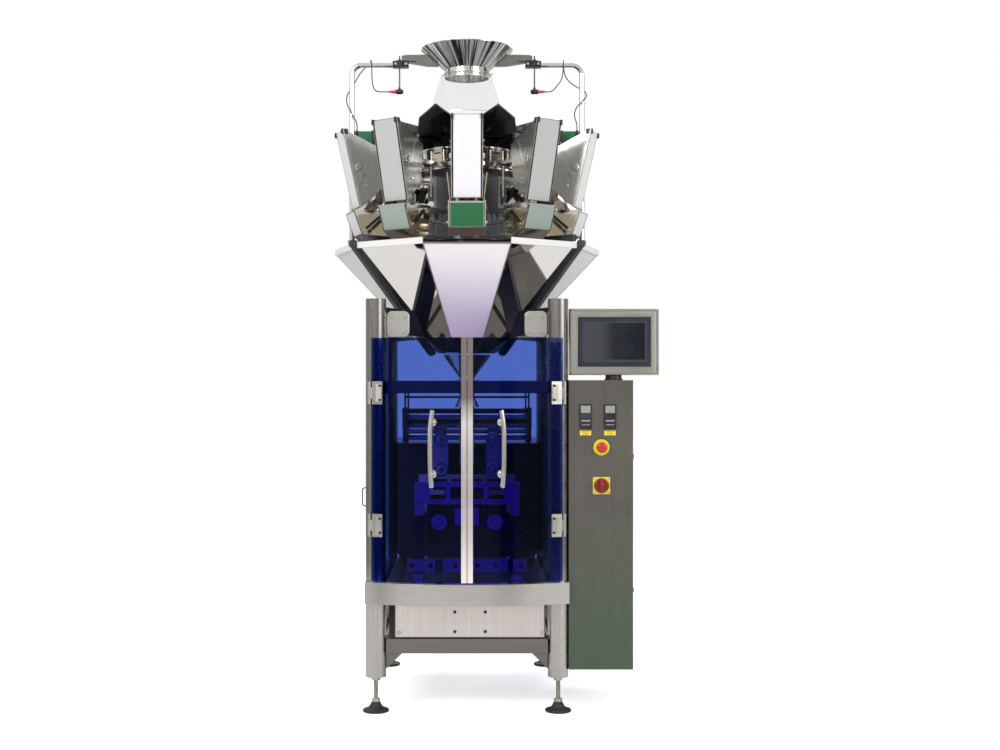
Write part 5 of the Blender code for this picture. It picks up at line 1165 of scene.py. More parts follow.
# ---------------------------------------------------------------- repeated slats
def slat_tree():
    """A row, or with a turn for each step a ring, of equal slats."""
    places = [(label, "Vector") for label in ("Start", "Step", "Size", "Tilt", "Turn")]
    wires, given = repeat_tree("slats", [("Count", "Int")] + places)
    row = wires.add("GeometryNodeMeshLine")
    wires.feed(row.inputs["Count"], given["Count"])
    wires.feed(row.inputs["Start Location"], given["Start"])
    wires.feed(row.inputs["Offset"], given["Step"])
    slat = wires.add("GeometryNodeMeshCube")
    wires.feed(slat.inputs["Size"], given["Size"])
    index = wires.add("GeometryNodeInputIndex")
    turned = wires.add("ShaderNodeVectorMath", operation="SCALE")
    wires.feed(turned.inputs[0], given["Turn"])
    wires.feed(turned.inputs["Scale"], index.outputs[0])
    placed = wires.add("GeometryNodeInstanceOnPoints")
    wires.feed(placed.inputs["Points"], row.outputs[0])
    wires.feed(placed.inputs["Instance"], slat.outputs["Mesh"])
    wires.feed(placed.inputs["Rotation"], given["Tilt"])
    about = wires.add("GeometryNodeRotateInstances")
    about.inputs["Local Space"].default_value = False
    wires.feed(about.inputs["Instances"], placed.outputs[0])
    wires.feed(about.inputs["Rotation"], turned.outputs[0])
    return real_repeat(wires, given, about.outputs[0])


SLATS = slat_tree()


def slats(name, count, start, size, finish, step=(0, 0, 0), tilt=(0, 0, 0), turn=0.0):
    """Equal slats in a row, or turned about the machine's axis, made one plain mesh."""
    values = {
        "Count": count, "Start": start, "Step": step, "Size": size, "Tilt": tilt,
        "Turn": (0.0, 0.0, turn), "Finish": finish,
    }
    made = repeated(name, bpy.data.meshes.new(name), SLATS, values, "frame")
    made.data.transform(Matrix.Translation(AXIS))


# ---------------------------------------------------------------- cabinet and its controls
CABINET = span("cabinet")
CABINET_FACE = CABINET[1][0]
BUTTON_X = 0.4998
STOP_Z, SWITCH_Z = 0.986, 0.844
CONTROLLER_X = (CABINET[0][0] + 0.0625, CABINET[0][0] + 0.1535)
CONTROLLER_Z = (1.054, 1.146)


def rounded(half_width, half_height, radius, centre=(0.0, 0.0), steps=6):
    """A rectangle with rounded corners."""
    outline = []
    for turn, (x, z) in enumerate(((1, 1), (-1, 1), (-1, -1), (1, -1))):
        hub = (centre[0] + x * (half_width - radius), centre[1] + z * (half_height - radius))
        outline += arc(hub, radius, turn * math.pi / 2, (turn + 1) * math.pi / 2, steps)
    return outline


def plate_y(half_width, half_height, radius, centre, back, front):
    return prism(rounded(half_width, half_height, radius, centre), back, front, "Y")


def cabinet():
    softened("cabinet", CABINET_STEEL, "frame", 0.0015)
    (x_low, x_high), (y_low, y_high), (low, high) = CABINET
    thick = (x_high, x_high + 0.0016)
    side_door = block(thick, (y_low + 0.02, y_high - 0.02), (low + 0.03, high - 0.03))
    piece("cabinet_side_door", [side_door], CABINET_STEEL, slot="cabinet_steel", ease=0.0006)
    lock_y = y_low + 0.05
    locks = [rod((x_high + 0.0014, lock_y, z), (x_high + 0.007, lock_y, z), 0.011, 28, 0.0012)
             for z in (0.45, 0.95)]
    piece("cabinet_locks", locks, BLACK_PLASTIC, slot="black_plastic")
    pin_x, pin_y = x_high + 0.004, y_high - 0.012
    leaves = [rod((pin_x, pin_y, z - 0.03), (pin_x, pin_y, z + 0.03), 0.004, 20, 0.0006)
              for z in (0.34, 0.7, 1.06)]
    piece("cabinet_hinges", leaves, SATIN_STEEL, slot="satin_steel")
    start = ((x_low + x_high) / 2, y_high + 0.0015, 0.3)
    slats("cabinet_louvres", 14, start, (0.15, 0.006, 0.008), CABINET_STEEL,
          step=(0.0, 0.0, 0.02), tilt=(math.radians(-32.0), 0.0, 0.0))


def controllers():
    """Two panel instruments with blank displays and keys, each over a yellow label."""
    face = CABINET_FACE - 0.007
    half_height = (CONTROLLER_Z[1] - CONTROLLER_Z[0]) / 2

    def raised(x, height, half_width, half, radius, proud):
        return plate_y(half_width, half, radius, (x, height), face + 0.001, face - proud)

    for index, x in enumerate(CONTROLLER_X, 1):
        case = plate_y(0.0225, half_height, 0.003, (x, middle(CONTROLLER_Z)), CABINET_FACE + 0.03, face)
        display = raised(x, 1.1275, 0.0178, 0.0135, 0.0015, 0.001)
        window = raised(x, 1.1025, 0.0178, 0.008, 0.0015, 0.0006)
        digits = [plate_y(0.004, 0.0009, 0.0004, (x + 0.0105 * place, height), face, face - 0.0013)
                  for place in (-1, 0, 1) for height in (1.131, 1.1245)]
        keys = [raised(x + 0.0084 * place, 1.085, 0.0036, 0.0032, 0.0012, 0.0016)
                for place in (-1.5, -0.5, 0.5, 1.5)]
        keys.append(raised(x, 1.07, 0.015, 0.0014, 0.0006, 0.0006))
        label = plate_y(0.021, 0.0085, 0.001, (x, 1.0395), CABINET_FACE + 0.0003, CABINET_FACE - 0.0006)
        bars = [plate_y(half, 0.0011, 0.0004, (x, z), CABINET_FACE, CABINET_FACE - 0.0009)
                for half, z in ((0.0165, 1.0435), (0.012, 1.036))]
        for name, shells, finish, ease in (
            ("case", [case], BLACK_PLASTIC, 0.001),
            ("display", [display], DISPLAY_GREY, 0.0004),
            ("window", [window], SCREEN_GLASS, 0.0003),
            ("digits", digits, KEY_GREY, 0.0),
            ("keys", keys, KEY_GREY, 0.0003),
            ("label", [label], LABEL_YELLOW, 0.0),
            ("label_bars", bars, BLACK_PLASTIC, 0.0),
        ):
            whole = name == "case"
            slot = "black_plastic" if whole else None
            replaced = [f"temperature_controller_{index}"] if whole else []
            piece(f"controller_{name}_{index}", shells, finish, "frame", slot, replaced, ease=ease)


def stop_button():
    seat = (BUTTON_X, CABINET_FACE - GAP, STOP_Z)
    collar = [
        (0.012, 0.0), (0.03, 0.0), (0.0305, -0.0012), (0.03, -0.005), (0.0285, -0.0074),
        (0.0272, -0.008), (0.021, -0.0066), (0.012, -0.0066),
    ]
    piece("stop_collar", [lathe(collar, 56, seat, "Y")], SIGNAL_YELLOW,
          slot="yellow_plastic", replaces=["estop_collar"], smooth=40.0)
    head = [
        (0.0, -0.033), (0.008, -0.0328), (0.0137, -0.0318), (0.0175, -0.0292), (0.0193, -0.0258),
        (0.0195, -0.022), (0.019, -0.0195), (0.0165, -0.018), (0.011, -0.0172), (0.0105, -0.0085),
        (0.0, -0.0085),
    ]
    body, slot = "estop_button", "red_plastic"
    piece("stop_mushroom", [lathe(head, 56, seat, "Y")], SIGNAL_RED, body, slot, [body], smooth=40.0)
    ring = [(0.0095, -0.0326), (0.0107, -0.0326), (0.0107, -0.0333), (0.0095, -0.0333)]
    piece("stop_mushroom_ring", [lathe(ring, 40, seat, "Y")], BOOT_RED, body, slot)


def main_switch():
    face = CABINET_FACE
    hub, centre = (BUTTON_X, face, SWITCH_Z), (BUTTON_X, SWITCH_Z)
    plate = plate_y(0.032, 0.032, 0.004, centre, face - GAP, face - 0.0038)
    rim = lathe([(0.0285, -0.0037), (0.03, -0.0037), (0.03, -0.0046), (0.0285, -0.0046)], 56, hub, "Y")
    piece("switch_backplate", [plate, rim], SIGNAL_YELLOW,
          slot="yellow_plastic", replaces=["switch_plate"], ease=0.0007)
    corners = [(BUTTON_X + x, face - 0.0045, SWITCH_Z + z)
               for x in (-0.026, 0.026) for z in (-0.026, 0.026)]
    fasteners("switch_screws", corners, 0.0022, 0.0012, "-Y", SATIN_STEEL, washer=1.2)
    disc = [(0.0, -0.0046), (0.0272, -0.0046), (0.0275, -0.006), (0.0268, -0.013),
            (0.025, -0.0146), (0.0, -0.0146)]
    grip = plate_y(0.007, 0.0237, 0.0055, centre, face - 0.012, face - 0.0262)
    body, slot = "switch_knob", "red_plastic"
    piece("switch_handle", [lathe(disc, 64, hub, "Y"), grip], KNOB_RED, body, slot, [body], ease=0.0012)
    pointer = plate_y(0.0011, 0.0085, 0.0006, (BUTTON_X, SWITCH_Z + 0.011), face - 0.0255, face - 0.0266)
    piece("switch_pointer", [pointer], BOOT_RED, body, slot)


def screen_head():
    body, black = "screen_head", "black_plastic"
    softened("screen_pivot", BLACK_PLASTIC, "frame", 0.001)
    softened("screen_housing", HOUSING_STEEL, body, 0.0012)
    x_range, (front, _), z_range = span("screen_housing")
    centre = (middle(x_range), middle(z_range))
    half_width, half_height = (x_range[1] - x_range[0]) / 2, (z_range[1] - z_range[0]) / 2
    outer = rounded(half_width - 0.002, half_height - 0.002, 0.01, centre)
    inner = rounded(half_width - 0.01, half_height - 0.01, 0.005, centre)
    back_y, front_y = front + 0.0004, front - 0.0024
    rings = ((outer, back_y), (outer, front_y), (inner, front_y), (inner, back_y))
    points = [(x, y, z) for ring, y in rings for x, z in ring]
    count = len(outer)
    faces = []
    for ring in range(4):
        this, other = ring * count, (ring + 1) % 4 * count
        for step in range(count):
            after = (step + 1) % count
            faces.append((this + step, this + after, other + after, other + step))
    piece("screen_rim", [(points, faces)], HOUSING_STEEL, body, "brushed_steel", ease=0.0008)
    x_range, (front, back), z_range = span("touch_screen")
    centre = (middle(x_range), middle(z_range))
    half_width, half_height = (x_range[1] - x_range[0]) / 2, (z_range[1] - z_range[0]) / 2
    bezel = plate_y(half_width, half_height, 0.006, centre, back, front)
    piece("screen_bezel", [bezel], SCREEN_BEZEL, body, black, ["touch_screen"], ease=0.0012)
    border = plate_y(half_width - 0.015, half_height - 0.016, 0.003, centre, front + 0.001, front - 0.0004)
    piece("screen_border", [border], SCREEN_FRAME, body, black)
    raised = (centre[0], centre[1] + 0.002)
    glass = plate_y(half_width - 0.022, half_height - 0.023, 0.002, raised, front, front - 0.0008)
    piece("screen_pane", [glass], SCREEN_GLASS, body, "screen_glass")
    screws = [(centre[0] + x, back + 0.0745, centre[1] + z) for x in (-0.12, 0.12) for z in (-0.08, 0.08)]
    fasteners("screen_back_screws", screws, 0.0035, 0.0022, "+Y", BLACK_PLASTIC, body)


cabinet()
controllers()
stop_button()
main_switch()
screen_head()


# ---------------------------------------------------------------- discharge funnel
def panel_points(low, high, shrink=0.0):
    """Corners of the front head's panel between two (radius, height) rings, as seen from outside."""
    points = []
    for radius, height, side in ((*low, -1), (*low, 1), (*high, 1), (*high, -1)):
        half = radius * math.tan(SECTOR / 2) - shrink
        points.append(Vector((side * half, -radius, height)))
    return points


def panel(low, high, thick, shrink):
    """A flat trapezium between two rings, with its thickness lying inwards."""
    corners = panel_points(low, high, shrink)
    normal = (corners[1] - corners[0]).cross(corners[3] - corners[0]).normalized()
    back = [tuple(point - normal * thick) for point in corners]
    faces = [(0, 1, 2, 3), (7, 6, 5, 4)]
    faces += [(i, (i + 1) % 4, (i + 1) % 4 + 4, i + 4) for i in range(4)]
    return [tuple(point) for point in corners] + back, faces


# Painted reflections: the funnel is one steel sheet; the front and back panels get the lilac finish and the
# steep side ones the pale finish, the rest mirror steel.
PANEL_REFLECTION_BY_HEAD = {0: LILAC_REFLECTION_PANEL, 5: LILAC_REFLECTION_PANEL, 2: SHEEN_PANEL, 8: SHEEN_PANEL, 3: SHEEN_PANEL, 7: SHEEN_PANEL}


def funnel():
    for head in range(HEADS):
        upper = around(panel(FUNNEL_WAIST, FUNNEL_TOP, 0.0022, 0.0012), head)
        lower = around(panel(FUNNEL_MOUTH, FUNNEL_WAIST, 0.0022, 0.0008), head)
        finish = PANEL_REFLECTION_BY_HEAD.get(head, MIRROR_STEEL)
        replaced = ["discharge_funnel"] if head == 0 else []
        piece(f"funnel_panel_{head + 1}", [upper], finish, slot="satin_steel", replaces=replaced)
        # The neck panels carry the painted dark reflection.
        piece(f"funnel_neck_{head + 1}", [lower], DARK_REFLECTION_STEEL, slot="satin_steel")
    folds = [rod(*panel_points(low, high)[1:3], 0.0022, 10)
             for low, high in ((FUNNEL_WAIST, FUNNEL_TOP), (FUNNEL_MOUTH, FUNNEL_WAIST))]
    piece("funnel_folds", ten(*folds), SATIN_STEEL, slot="satin_steel", smooth=60.0)
    radius, top = FUNNEL_TOP
    lip_radius = radius + 0.008
    half, lip_half = radius * math.tan(SECTOR / 2), lip_radius * math.tan(SECTOR / 2)
    outline = [(-half, -radius), (half, -radius), (lip_half, -lip_radius), (-lip_half, -lip_radius)]
    lip = prism(outline, top - 0.002, LIP_TOP)
    lips = [around(lip, head) for head in range(HEADS) if head not in (0, 5)]
    # The lips away from the front and back carry the pale painted sheen.
    piece("funnel_lips", lips, SHEEN_PANEL, slot="satin_steel", ease=0.001)
    rim = radial([(0.499, 1.7405), (0.5045, 1.7445), (0.5035, 1.7465), (0.496, 1.743)], 0.16)
    rims = [around(rim, head) for head in (0, 5)]
    piece("funnel_rims", rims, SATIN_STEEL, slot="satin_steel", ease=0.0006)
    corner, arm_z = FUNNEL_WAIST[0] * CORNER, 1.459
    x_corner = corner * math.sin(1.5 * SECTOR) + 0.008
    y_corner = corner * math.cos(1.5 * SECTOR) + 0.006
    arms = []
    for end in (-1, 1):
        tip = (POST_X - 0.028, end * (POST_Y - 0.02), arm_z)
        arms += both(bar((x_corner, end * y_corner, arm_z), tip, 0.014, 0.1))
    piece("funnel_arms", arms, DARK_STEEL, slot="dark_steel", ease=0.002)
    arm_block = block((0.236, 0.288), (-0.405, -0.365), (1.425, 1.492))
    piece("arm_blocks", both(arm_block), DARK_INNER, slot="dark_steel", ease=0.003)
    bracket_x, bracket_z = 0.2595, 1.446
    bracket = plate_y(0.0435, 0.05, 0.02, (bracket_x, bracket_z), -0.421, -0.407)
    piece("arm_brackets", both(bracket), SATIN_STEEL, slot="satin_steel", ease=0.003)
    bolts = [(x * (bracket_x + a), -0.423, bracket_z + b)
             for x in (-1, 1) for a in (-0.024, 0.024) for b in (-0.028, 0.028)]
    fasteners("arm_bracket_bolts", bolts, 0.005, 0.004, "-Y", SATIN_STEEL)


funnel()


# ---------------------------------------------------------------- weigher support and core
def weigher_support():
    hub = [(0.0, 1.7685), (0.118, 1.7685), (0.12, 1.77), (0.12, 1.796), (0.118, 1.7978), (0.0, 1.7978)]
    spokes, struts, caps = [lathe(hub, 64)], [], []
    for corner in (1.5, 3.5, 6.5, 8.5):
        angle = corner * SECTOR
        way = Vector((math.sin(angle), -math.cos(angle), 0.0))
        level = Vector((0, 0, 1.783))
        spokes.append(bar(way * 0.105 + level, way * 0.512 + level, 0.022, 0.026))
        top = way * ((FUNNEL_TOP[0] + 0.013) * CORNER) + Vector((0, 0, 1.758))
        foot_point = way * ((FUNNEL_WAIST[0] - 0.03) * CORNER) + Vector((0, 0, 1.345))
        struts.append(bar(foot_point, top, 0.03, 0.022))
        caps.append(rod(top + Vector((0, 0, -0.012)), top + Vector((0, 0, 0.014)), 0.015, 28, 0.003))
    piece("weigher_spokes", spokes, DARK_STEEL, slot="dark_steel", replaces=["weigher_support"], ease=0.002)
    piece("funnel_struts", struts, BLACK_PLASTIC, slot="dark_steel", ease=0.003)
    piece("spoke_caps", caps, BLACK_PLASTIC, slot="black_plastic")
    seats = both(block((0.11, 0.478), (-0.008, 0.008), (1.772, 1.79)),
                 block((0.444, 0.482), (-0.015, 0.015), (1.786, 1.7975)))
    piece("arm_seats", seats, SATIN_STEEL, slot="satin_steel", ease=0.0015)


def core():
    """The cast core with ribs and the drum with its ring of windows."""
    low, high = span("weigher_core")[2][0], DRUM_Z[0]
    waist = CORE_RADIUS - 0.01
    body = lathe([
        (0.0, low), (CORE_RADIUS, low), (CORE_RADIUS, low + 0.018), (waist, low + 0.026),
        (waist, 2.02), (CORE_RADIUS, 2.032), (CORE_RADIUS, high), (0.0, high),
    ], 72)
    piece("core_casting", [body], CORE_STEEL, slot="dark_steel", replaces=["weigher_core"],
          smooth=28.0, ease=0.0008)
    slats("core_ribs", 20, (0.0, -CORE_RADIUS + 0.006, 1.925), (0.006, 0.012, 0.185), CORE_STEEL,
          turn=SECTOR / 2)
    low, high = DRUM_Z
    wall = DRUM_RADIUS - 0.001
    drum = lathe(
        [(0.0, low), (0.186, low), (0.19, low + 0.002), (0.194, low + 0.01), (wall, low + 0.012),
         (wall, high - 0.01), (DRUM_RADIUS, high - 0.008), (DRUM_RADIUS, high), (0.0, high)], 96)
    piece("drum_wall", [drum], POLISHED_STEEL, slot="satin_steel", ease=0.0006)
    edge = DRUM_RADIUS - 0.0015
    ledge = [(0.188, low - 0.004), (edge, low - 0.004), (edge, low + 0.004), (0.188, low + 0.004)]
    piece("drum_ledge", [lathe(ledge, 96)], BLACK_PLASTIC, slot="black_plastic")
    # The slots are painted shade: black strips on the drum's wall.
    for label, proud, up, size, finish, slot in (
        ("windows", -0.0008, 0.002, (0.048, 0.002, 0.06), BRONZE_STEEL, "satin_steel"),
        ("slot_shadows", 0.0001, 0.026, (0.034, 0.0022, 0.005), OPENING_SHADE, "black_plastic"),
        ("latches", 0.0004, -0.016, (0.01, 0.004, 0.016), DARK_STEEL, "dark_steel"),
    ):
        start = (0.0, -DRUM_RADIUS - proud, middle(DRUM_Z) + up)
        slats(f"drum_{label}", HEADS, start, size, finish, turn=SECTOR)
    bead_y = -DRUM_RADIUS + 0.0012
    bead = rod((0.03, bead_y, low + 0.013), (0.03, bead_y, high - 0.012), 0.003, 12)
    piece("drum_beads", ten(*both(bead)), POLISHED_STEEL, slot="satin_steel", smooth=60.0)


def drives():
    """Each head's drive box behind its hoppers, with its plates, levers, rollers and rods."""
    boxes = [block((-0.038, 0.038), (-0.262, -0.12), (1.905, 2.03)),
             block((-0.03, 0.03), (-0.25, -0.12), (1.802, 1.848))]
    plates = [block((-0.032, 0.032), (-0.265, -0.2615), (1.912, 2.024))]
    plates += both(block((0.03, 0.0335), (-0.3, -0.262), (1.93, 1.99)))
    rods = both(rod((0.024, -0.262, 2.004), (0.024, -0.352, 2.004), 0.0045, 16),
                rod((0.024, -0.25, 1.826), (0.024, -0.318, 1.826), 0.0045, 16),
                rod((0.046, -0.3, 1.945), (0.046, -0.3, 2.06), 0.0035, 14))
    levers = [bar((0.014, -0.275, 1.976), (0.014, -0.338, 1.936), 0.007, 0.015),
              bar((-0.014, -0.275, 1.93), (-0.014, -0.33, 1.978), 0.007, 0.015),
              rod((-0.022, -0.275, 1.976), (0.022, -0.275, 1.976), 0.0095, 24, 0.001),
              rod((0.008, -0.338, 1.936), (0.022, -0.338, 1.936), 0.011, 24, 0.001)]
    link = bar((0.0, -0.258, 1.846), (0.0, -0.308, 1.906), 0.009, 0.012)
    strap = bar((0.06, -0.205, 1.885), (0.078, -0.205, 2.048), 0.01, 0.004)
    piece("drive_boxes", ten(*boxes), CORE_STEEL, slot="dark_steel", ease=0.003)
    piece("drive_plates", ten(*plates), POLISHED_STEEL, slot="satin_steel", ease=0.0006)
    piece("drive_levers", ten(*levers), BLACK_PLASTIC, slot="black_plastic", ease=0.0008)
    piece("drive_rods", ten(*rods), POLISHED_STEEL, slot="satin_steel", smooth=50.0)
    piece("drive_links", ten(link), DARK_STEEL, slot="dark_steel", ease=0.0008)
    piece("core_straps", ten(*both(strap)), BRONZE_STEEL, slot="satin_steel")


weigher_support()
core()
drives()


# ---------------------------------------------------------------- feed hoppers
# Painted light: the hopper covers are all alike; the front and back ones are white, those beside them grey
# as painted shade, and the steep side ones pale as painted sheen.
COVER_SHADE_BY_HEAD = {0: WHITE_COVER, 5: WHITE_COVER, 1: SHADED_COVER, 9: SHADED_COVER, 4: SHADED_COVER, 6: SHADED_COVER}
SIDE_STEEL = metal("hopper_side", "b3b2ad", 0.13, ALONG_Z, 0.2, 0.06, 0.04, sheen=0.85)
WEIGH_STEEL = metal("weigh_side", "c4bcae", 0.07, ALONG_X, 0.12, 0.05, 0.03)
SHADOW_STEEL = metal("hopper_edge", "37363a", 0.24, ALONG_Z, 0.25)


def wall_between(start, end, thick, half, aside=0.0):
    """A sheet across a head between two (radius, height) points, its thickness inwards."""
    along = (Vector(end) - Vector(start)).normalized()
    inward = Vector((-along.y, along.x)) * thick
    outline = [start, end, tuple(Vector(end) + inward), tuple(Vector(start) + inward)]
    return radial(outline, half, aside)


def slab(outline_edge, low_offset, high_offset, half, low_share=0.0, high_share=1.0):
    """A plate lying on an outer edge, between two distances outside it."""
    start, end = Vector(outline_edge[0]), Vector(outline_edge[1])
    along = (end - start).normalized()
    outward = Vector((along.y, -along.x))
    first, last = start.lerp(end, low_share), start.lerp(end, high_share)
    points = [first + outward * low_offset, last + outward * low_offset,
              last + outward * high_offset, first + outward * high_offset]
    return radial([tuple(point) for point in points], half)


def feed_hoppers():
    """Ten hoppers: side plates, walls, rims, knobs and latches, with a cover in three layers."""
    outer = FEED_OUTLINE[:2]
    aside = FEED_HALF - 0.001
    edges = [outer] + list(zip(FEED_OUTLINE[2:], FEED_OUTLINE[3:] + FEED_OUTLINE[:1]))
    walls = [wall_between(*edge, 0.002, FEED_HALF - 0.0005) for edge in edges]
    brim = [(0.5235, 2.2145), (0.524, 2.2185), (0.36, 2.1385), (0.36, 2.134)]
    fold = [(0.47, 1.975), (0.474, 1.975), (0.406, 2.146), (0.402, 2.144)]
    rims = [radial(brim, 0.0024, aside), radial(fold, 0.0016, FEED_HALF + 0.0004)]
    knobs = [rod((aside, -0.466, 2.07), (FEED_HALF + 0.011, -0.466, 2.07), 0.013, 28, 0.002),
             rod((aside, -0.43, 2.0), (FEED_HALF + 0.006, -0.43, 2.0), 0.006, 20, 0.001)]
    latch = block((0.05, 0.0585), (-0.534, -0.506), (2.198, 2.218))
    edge = moved(slab(outer, 0.0, 0.0028, 0.0012), (COVER_HALF - 0.0013, 0, 0))
    gate = slab(((0.375, 1.985), (0.457, 1.915)), 0.0004, 0.0034, 0.048, 0.06, 0.96)
    for head in range(HEADS):
        cover = around(slab(outer, 0.0005, 0.0038, 0.0508, 0.008, 0.994), head)
        finish = COVER_SHADE_BY_HEAD.get(head, SHEEN_PANEL)
        piece(f"feed_cover_{head + 1}", [cover], finish, slot="pale_cover", ease=0.0012)
    piece("feed_walls", ten(*walls), SIDE_STEEL, slot="satin_steel", replaces=["feed_hoppers"])
    side_plate = radial(FEED_OUTLINE, 0.0011, aside)
    piece("feed_side_plates", ten(*both(side_plate)), SIDE_STEEL, slot="satin_steel")
    piece("feed_brims", ten(*both(*rims)), POLISHED_STEEL, slot="satin_steel")
    gasket = slab(outer, -0.001, 0.0022, 0.056, 0.004, 0.998)
    piece("cover_gaskets", ten(gasket), BLACK_PLASTIC, slot="black_plastic")
    frames = ten(slab(outer, -0.001, 0.0012, COVER_HALF), *both(edge))
    piece("cover_frames", frames, SATIN_STEEL, slot="satin_steel", ease=0.0004)
    piece("feed_knobs", ten(*both(*knobs)), POLISHED_STEEL, slot="satin_steel", smooth=40.0)
    piece("cover_latches", ten(*both(latch)), BLACK_PLASTIC, slot="black_plastic", ease=0.0015)
    piece("feed_gates", ten(gate), BRONZE_STEEL, slot="satin_steel", ease=0.0006)
    carrier = [lathe([(0.2015, 2.0765), (0.214, 2.0765), (0.214, 2.0935), (0.2015, 2.0935)], 96)]
    carrier += ten(bar((0.0, -0.21, 2.085), (0.0, -0.382, 2.085), 0.034, 0.016))
    piece("feed_carrier", carrier, POLISHED_STEEL, slot="satin_steel", ease=0.001)
    bolts = [(side, -0.255, 2.095) for side in (-0.028, 0.028)]
    spots = [spot for places, _ in ten((bolts, ())) for spot in places]
    fasteners("carrier_bolts", spots, 0.0045, 0.004, "+Z", SATIN_STEEL)


feed_hoppers()


# ---------------------------------------------------------------- weigh hoppers and gates
def weigh_hoppers():
    aside = WEIGH_HALF - 0.0012
    walls = [wall_between(*edge, 0.002, WEIGH_HALF - 0.0005)
             for edge in zip(WEIGH_OUTLINE[3:], WEIGH_OUTLINE[4:])]
    plate = radial(inset(WEIGH_OUTLINE, (0.004, 0.005, 0.0, 0.0, 0.0)), 0.0011, aside)
    fold = [(0.464, 1.89), (0.468, 1.89), (0.38, 1.786), (0.376, 1.786)]
    brim = [(0.472, 1.9), (0.472, 1.9045), (0.335, 1.9045), (0.335, 1.9)]
    back = [(0.337, 1.9), (0.337, 1.9045), (0.334, 1.9045), (0.334, 1.9)]
    rims = both(radial(fold, 0.0014, WEIGH_HALF + 0.0002), radial(brim, 0.0024, aside))
    rims.append(radial(back, 0.068))
    low_pin, high_pin = (-0.442, 1.826), (-0.372, 1.886)
    link = bar((0.0735, *high_pin), (0.0735, *low_pin), 0.003, 0.01)
    knobs = [rod((WEIGH_HALF - 0.001, *pin), (WEIGH_HALF + 0.007, *pin), 0.006, 20, 0.0008)
             for pin in (low_pin, high_pin)]
    piece("weigh_walls", ten(*walls), SIDE_STEEL, slot="satin_steel", replaces=["weigh_hoppers"])
    piece("weigh_side_plates", ten(*both(plate)), WEIGH_STEEL, slot="satin_steel")
    piece("weigh_brims", ten(*rims), POLISHED_STEEL, slot="satin_steel")
    piece("weigh_links", ten(*both(link)), BLACK_PLASTIC, slot="black_plastic")
    piece("weigh_knobs", ten(*both(*knobs)), POLISHED_STEEL, slot="satin_steel")
    seat = CORE_RADIUS - 0.008
    carrier = [lathe([(seat, 1.8515), (0.1465, 1.8515), (0.1465, 1.8645), (seat, 1.8645)], 80)]
    carrier += ten(bar((0.0, -0.14, 1.858), (0.0, -0.344, 1.858), 0.03, 0.012))
    piece("weigh_carrier", carrier, SATIN_STEEL, slot="satin_steel", ease=0.001)


# Painted light: the gates all carry the same green film; those beside the front and back heads are paler
# and the steep side ones white, as painted sheen.
GATE_FILM_LIGHT_BY_HEAD = {0: GREEN_FILM, 5: GREEN_FILM, 2: WHITE_COVER, 8: WHITE_COVER, 3: WHITE_COVER, 7: WHITE_COVER}


def weigh_gates():
    """Each gate is a bent sheet with a film panel on its face, side lips and a hinge barrel."""
    face_edge = (WEIGH_OUTLINE[1], WEIGH_OUTLINE[0])
    flap_end = tuple(Vector(WEIGH_OUTLINE[1]).lerp(Vector(WEIGH_OUTLINE[2]), 0.93))
    barrel = rod((-0.065, -0.47937, 1.897), (0.065, -0.47937, 1.897), GATE_BARREL, 24, 0.0006)
    sheet = [slab(face_edge, -0.0038, -0.001, 0.066, 0.0, 0.93), barrel]
    flap = slab((flap_end, WEIGH_OUTLINE[1]), -0.0038, -0.001, 0.066)
    film = slab(face_edge, -0.0014, -0.0002, 0.0612, 0.045, 0.905)
    side_edge = slab(face_edge, -0.0012, 0.0006, 0.0011, 0.02, 0.92)
    edging = both(moved(side_edge, (0.0638, 0.0, 0.0)))
    edging.append(slab(face_edge, -0.0012, 0.0006, 0.0648, 0.015, 0.032))
    for head in range(HEADS):
        body = f"weigh_gate_{head + 1}"
        slot = "gate_green" if head in (0, 5) else "gate_pale"
        for label, shells, finish, ease in (
            ("sheet", sheet, SATIN_STEEL, 0.0005),
            ("flap", [flap], BRONZE_STEEL, 0.0005),
            ("film", [film], GATE_FILM_LIGHT_BY_HEAD.get(head, LIT_GREEN_FILM), 0.0004),
            ("edging", edging, SHADOW_STEEL, 0.0),
        ):
            placed = [around(shell, head) for shell in shells]
            replaced = [body] if label == "sheet" else []
            piece(f"gate_{label}_{head + 1}", placed, finish, body, slot, replaced, ease=ease)


weigh_hoppers()
weigh_gates()


def low_peaks(spot):
    """Keeps the pans' tall folds only beside the front and back heads."""
    turned = abs(math.atan2(spot.x, -spot.y))
    beside = min(abs(turned - SECTOR / 2), abs(turned - math.pi + SECTOR / 2)) < 0.12
    return spot if beside or spot.z < 2.24 else Vector((spot.x, spot.y, 2.24))


# The pans carry the painted dark reflection.
softened("linear_feeders", DARK_REFLECTION_STEEL, "frame", 0.0006, shaped=low_peaks)
softened("dispersion_cone", POLISHED_STEEL, "dispersion_cone", 0.0006)


# ---------------------------------------------------------------- infeed cone, skirt, arms and sensors
ARM_X, ARM_LOW, ARM_Z, ARM_BEND, ARM_END = 0.465, 1.7983, 2.514, 0.042, 0.235
ARM_RADIUS = 0.011


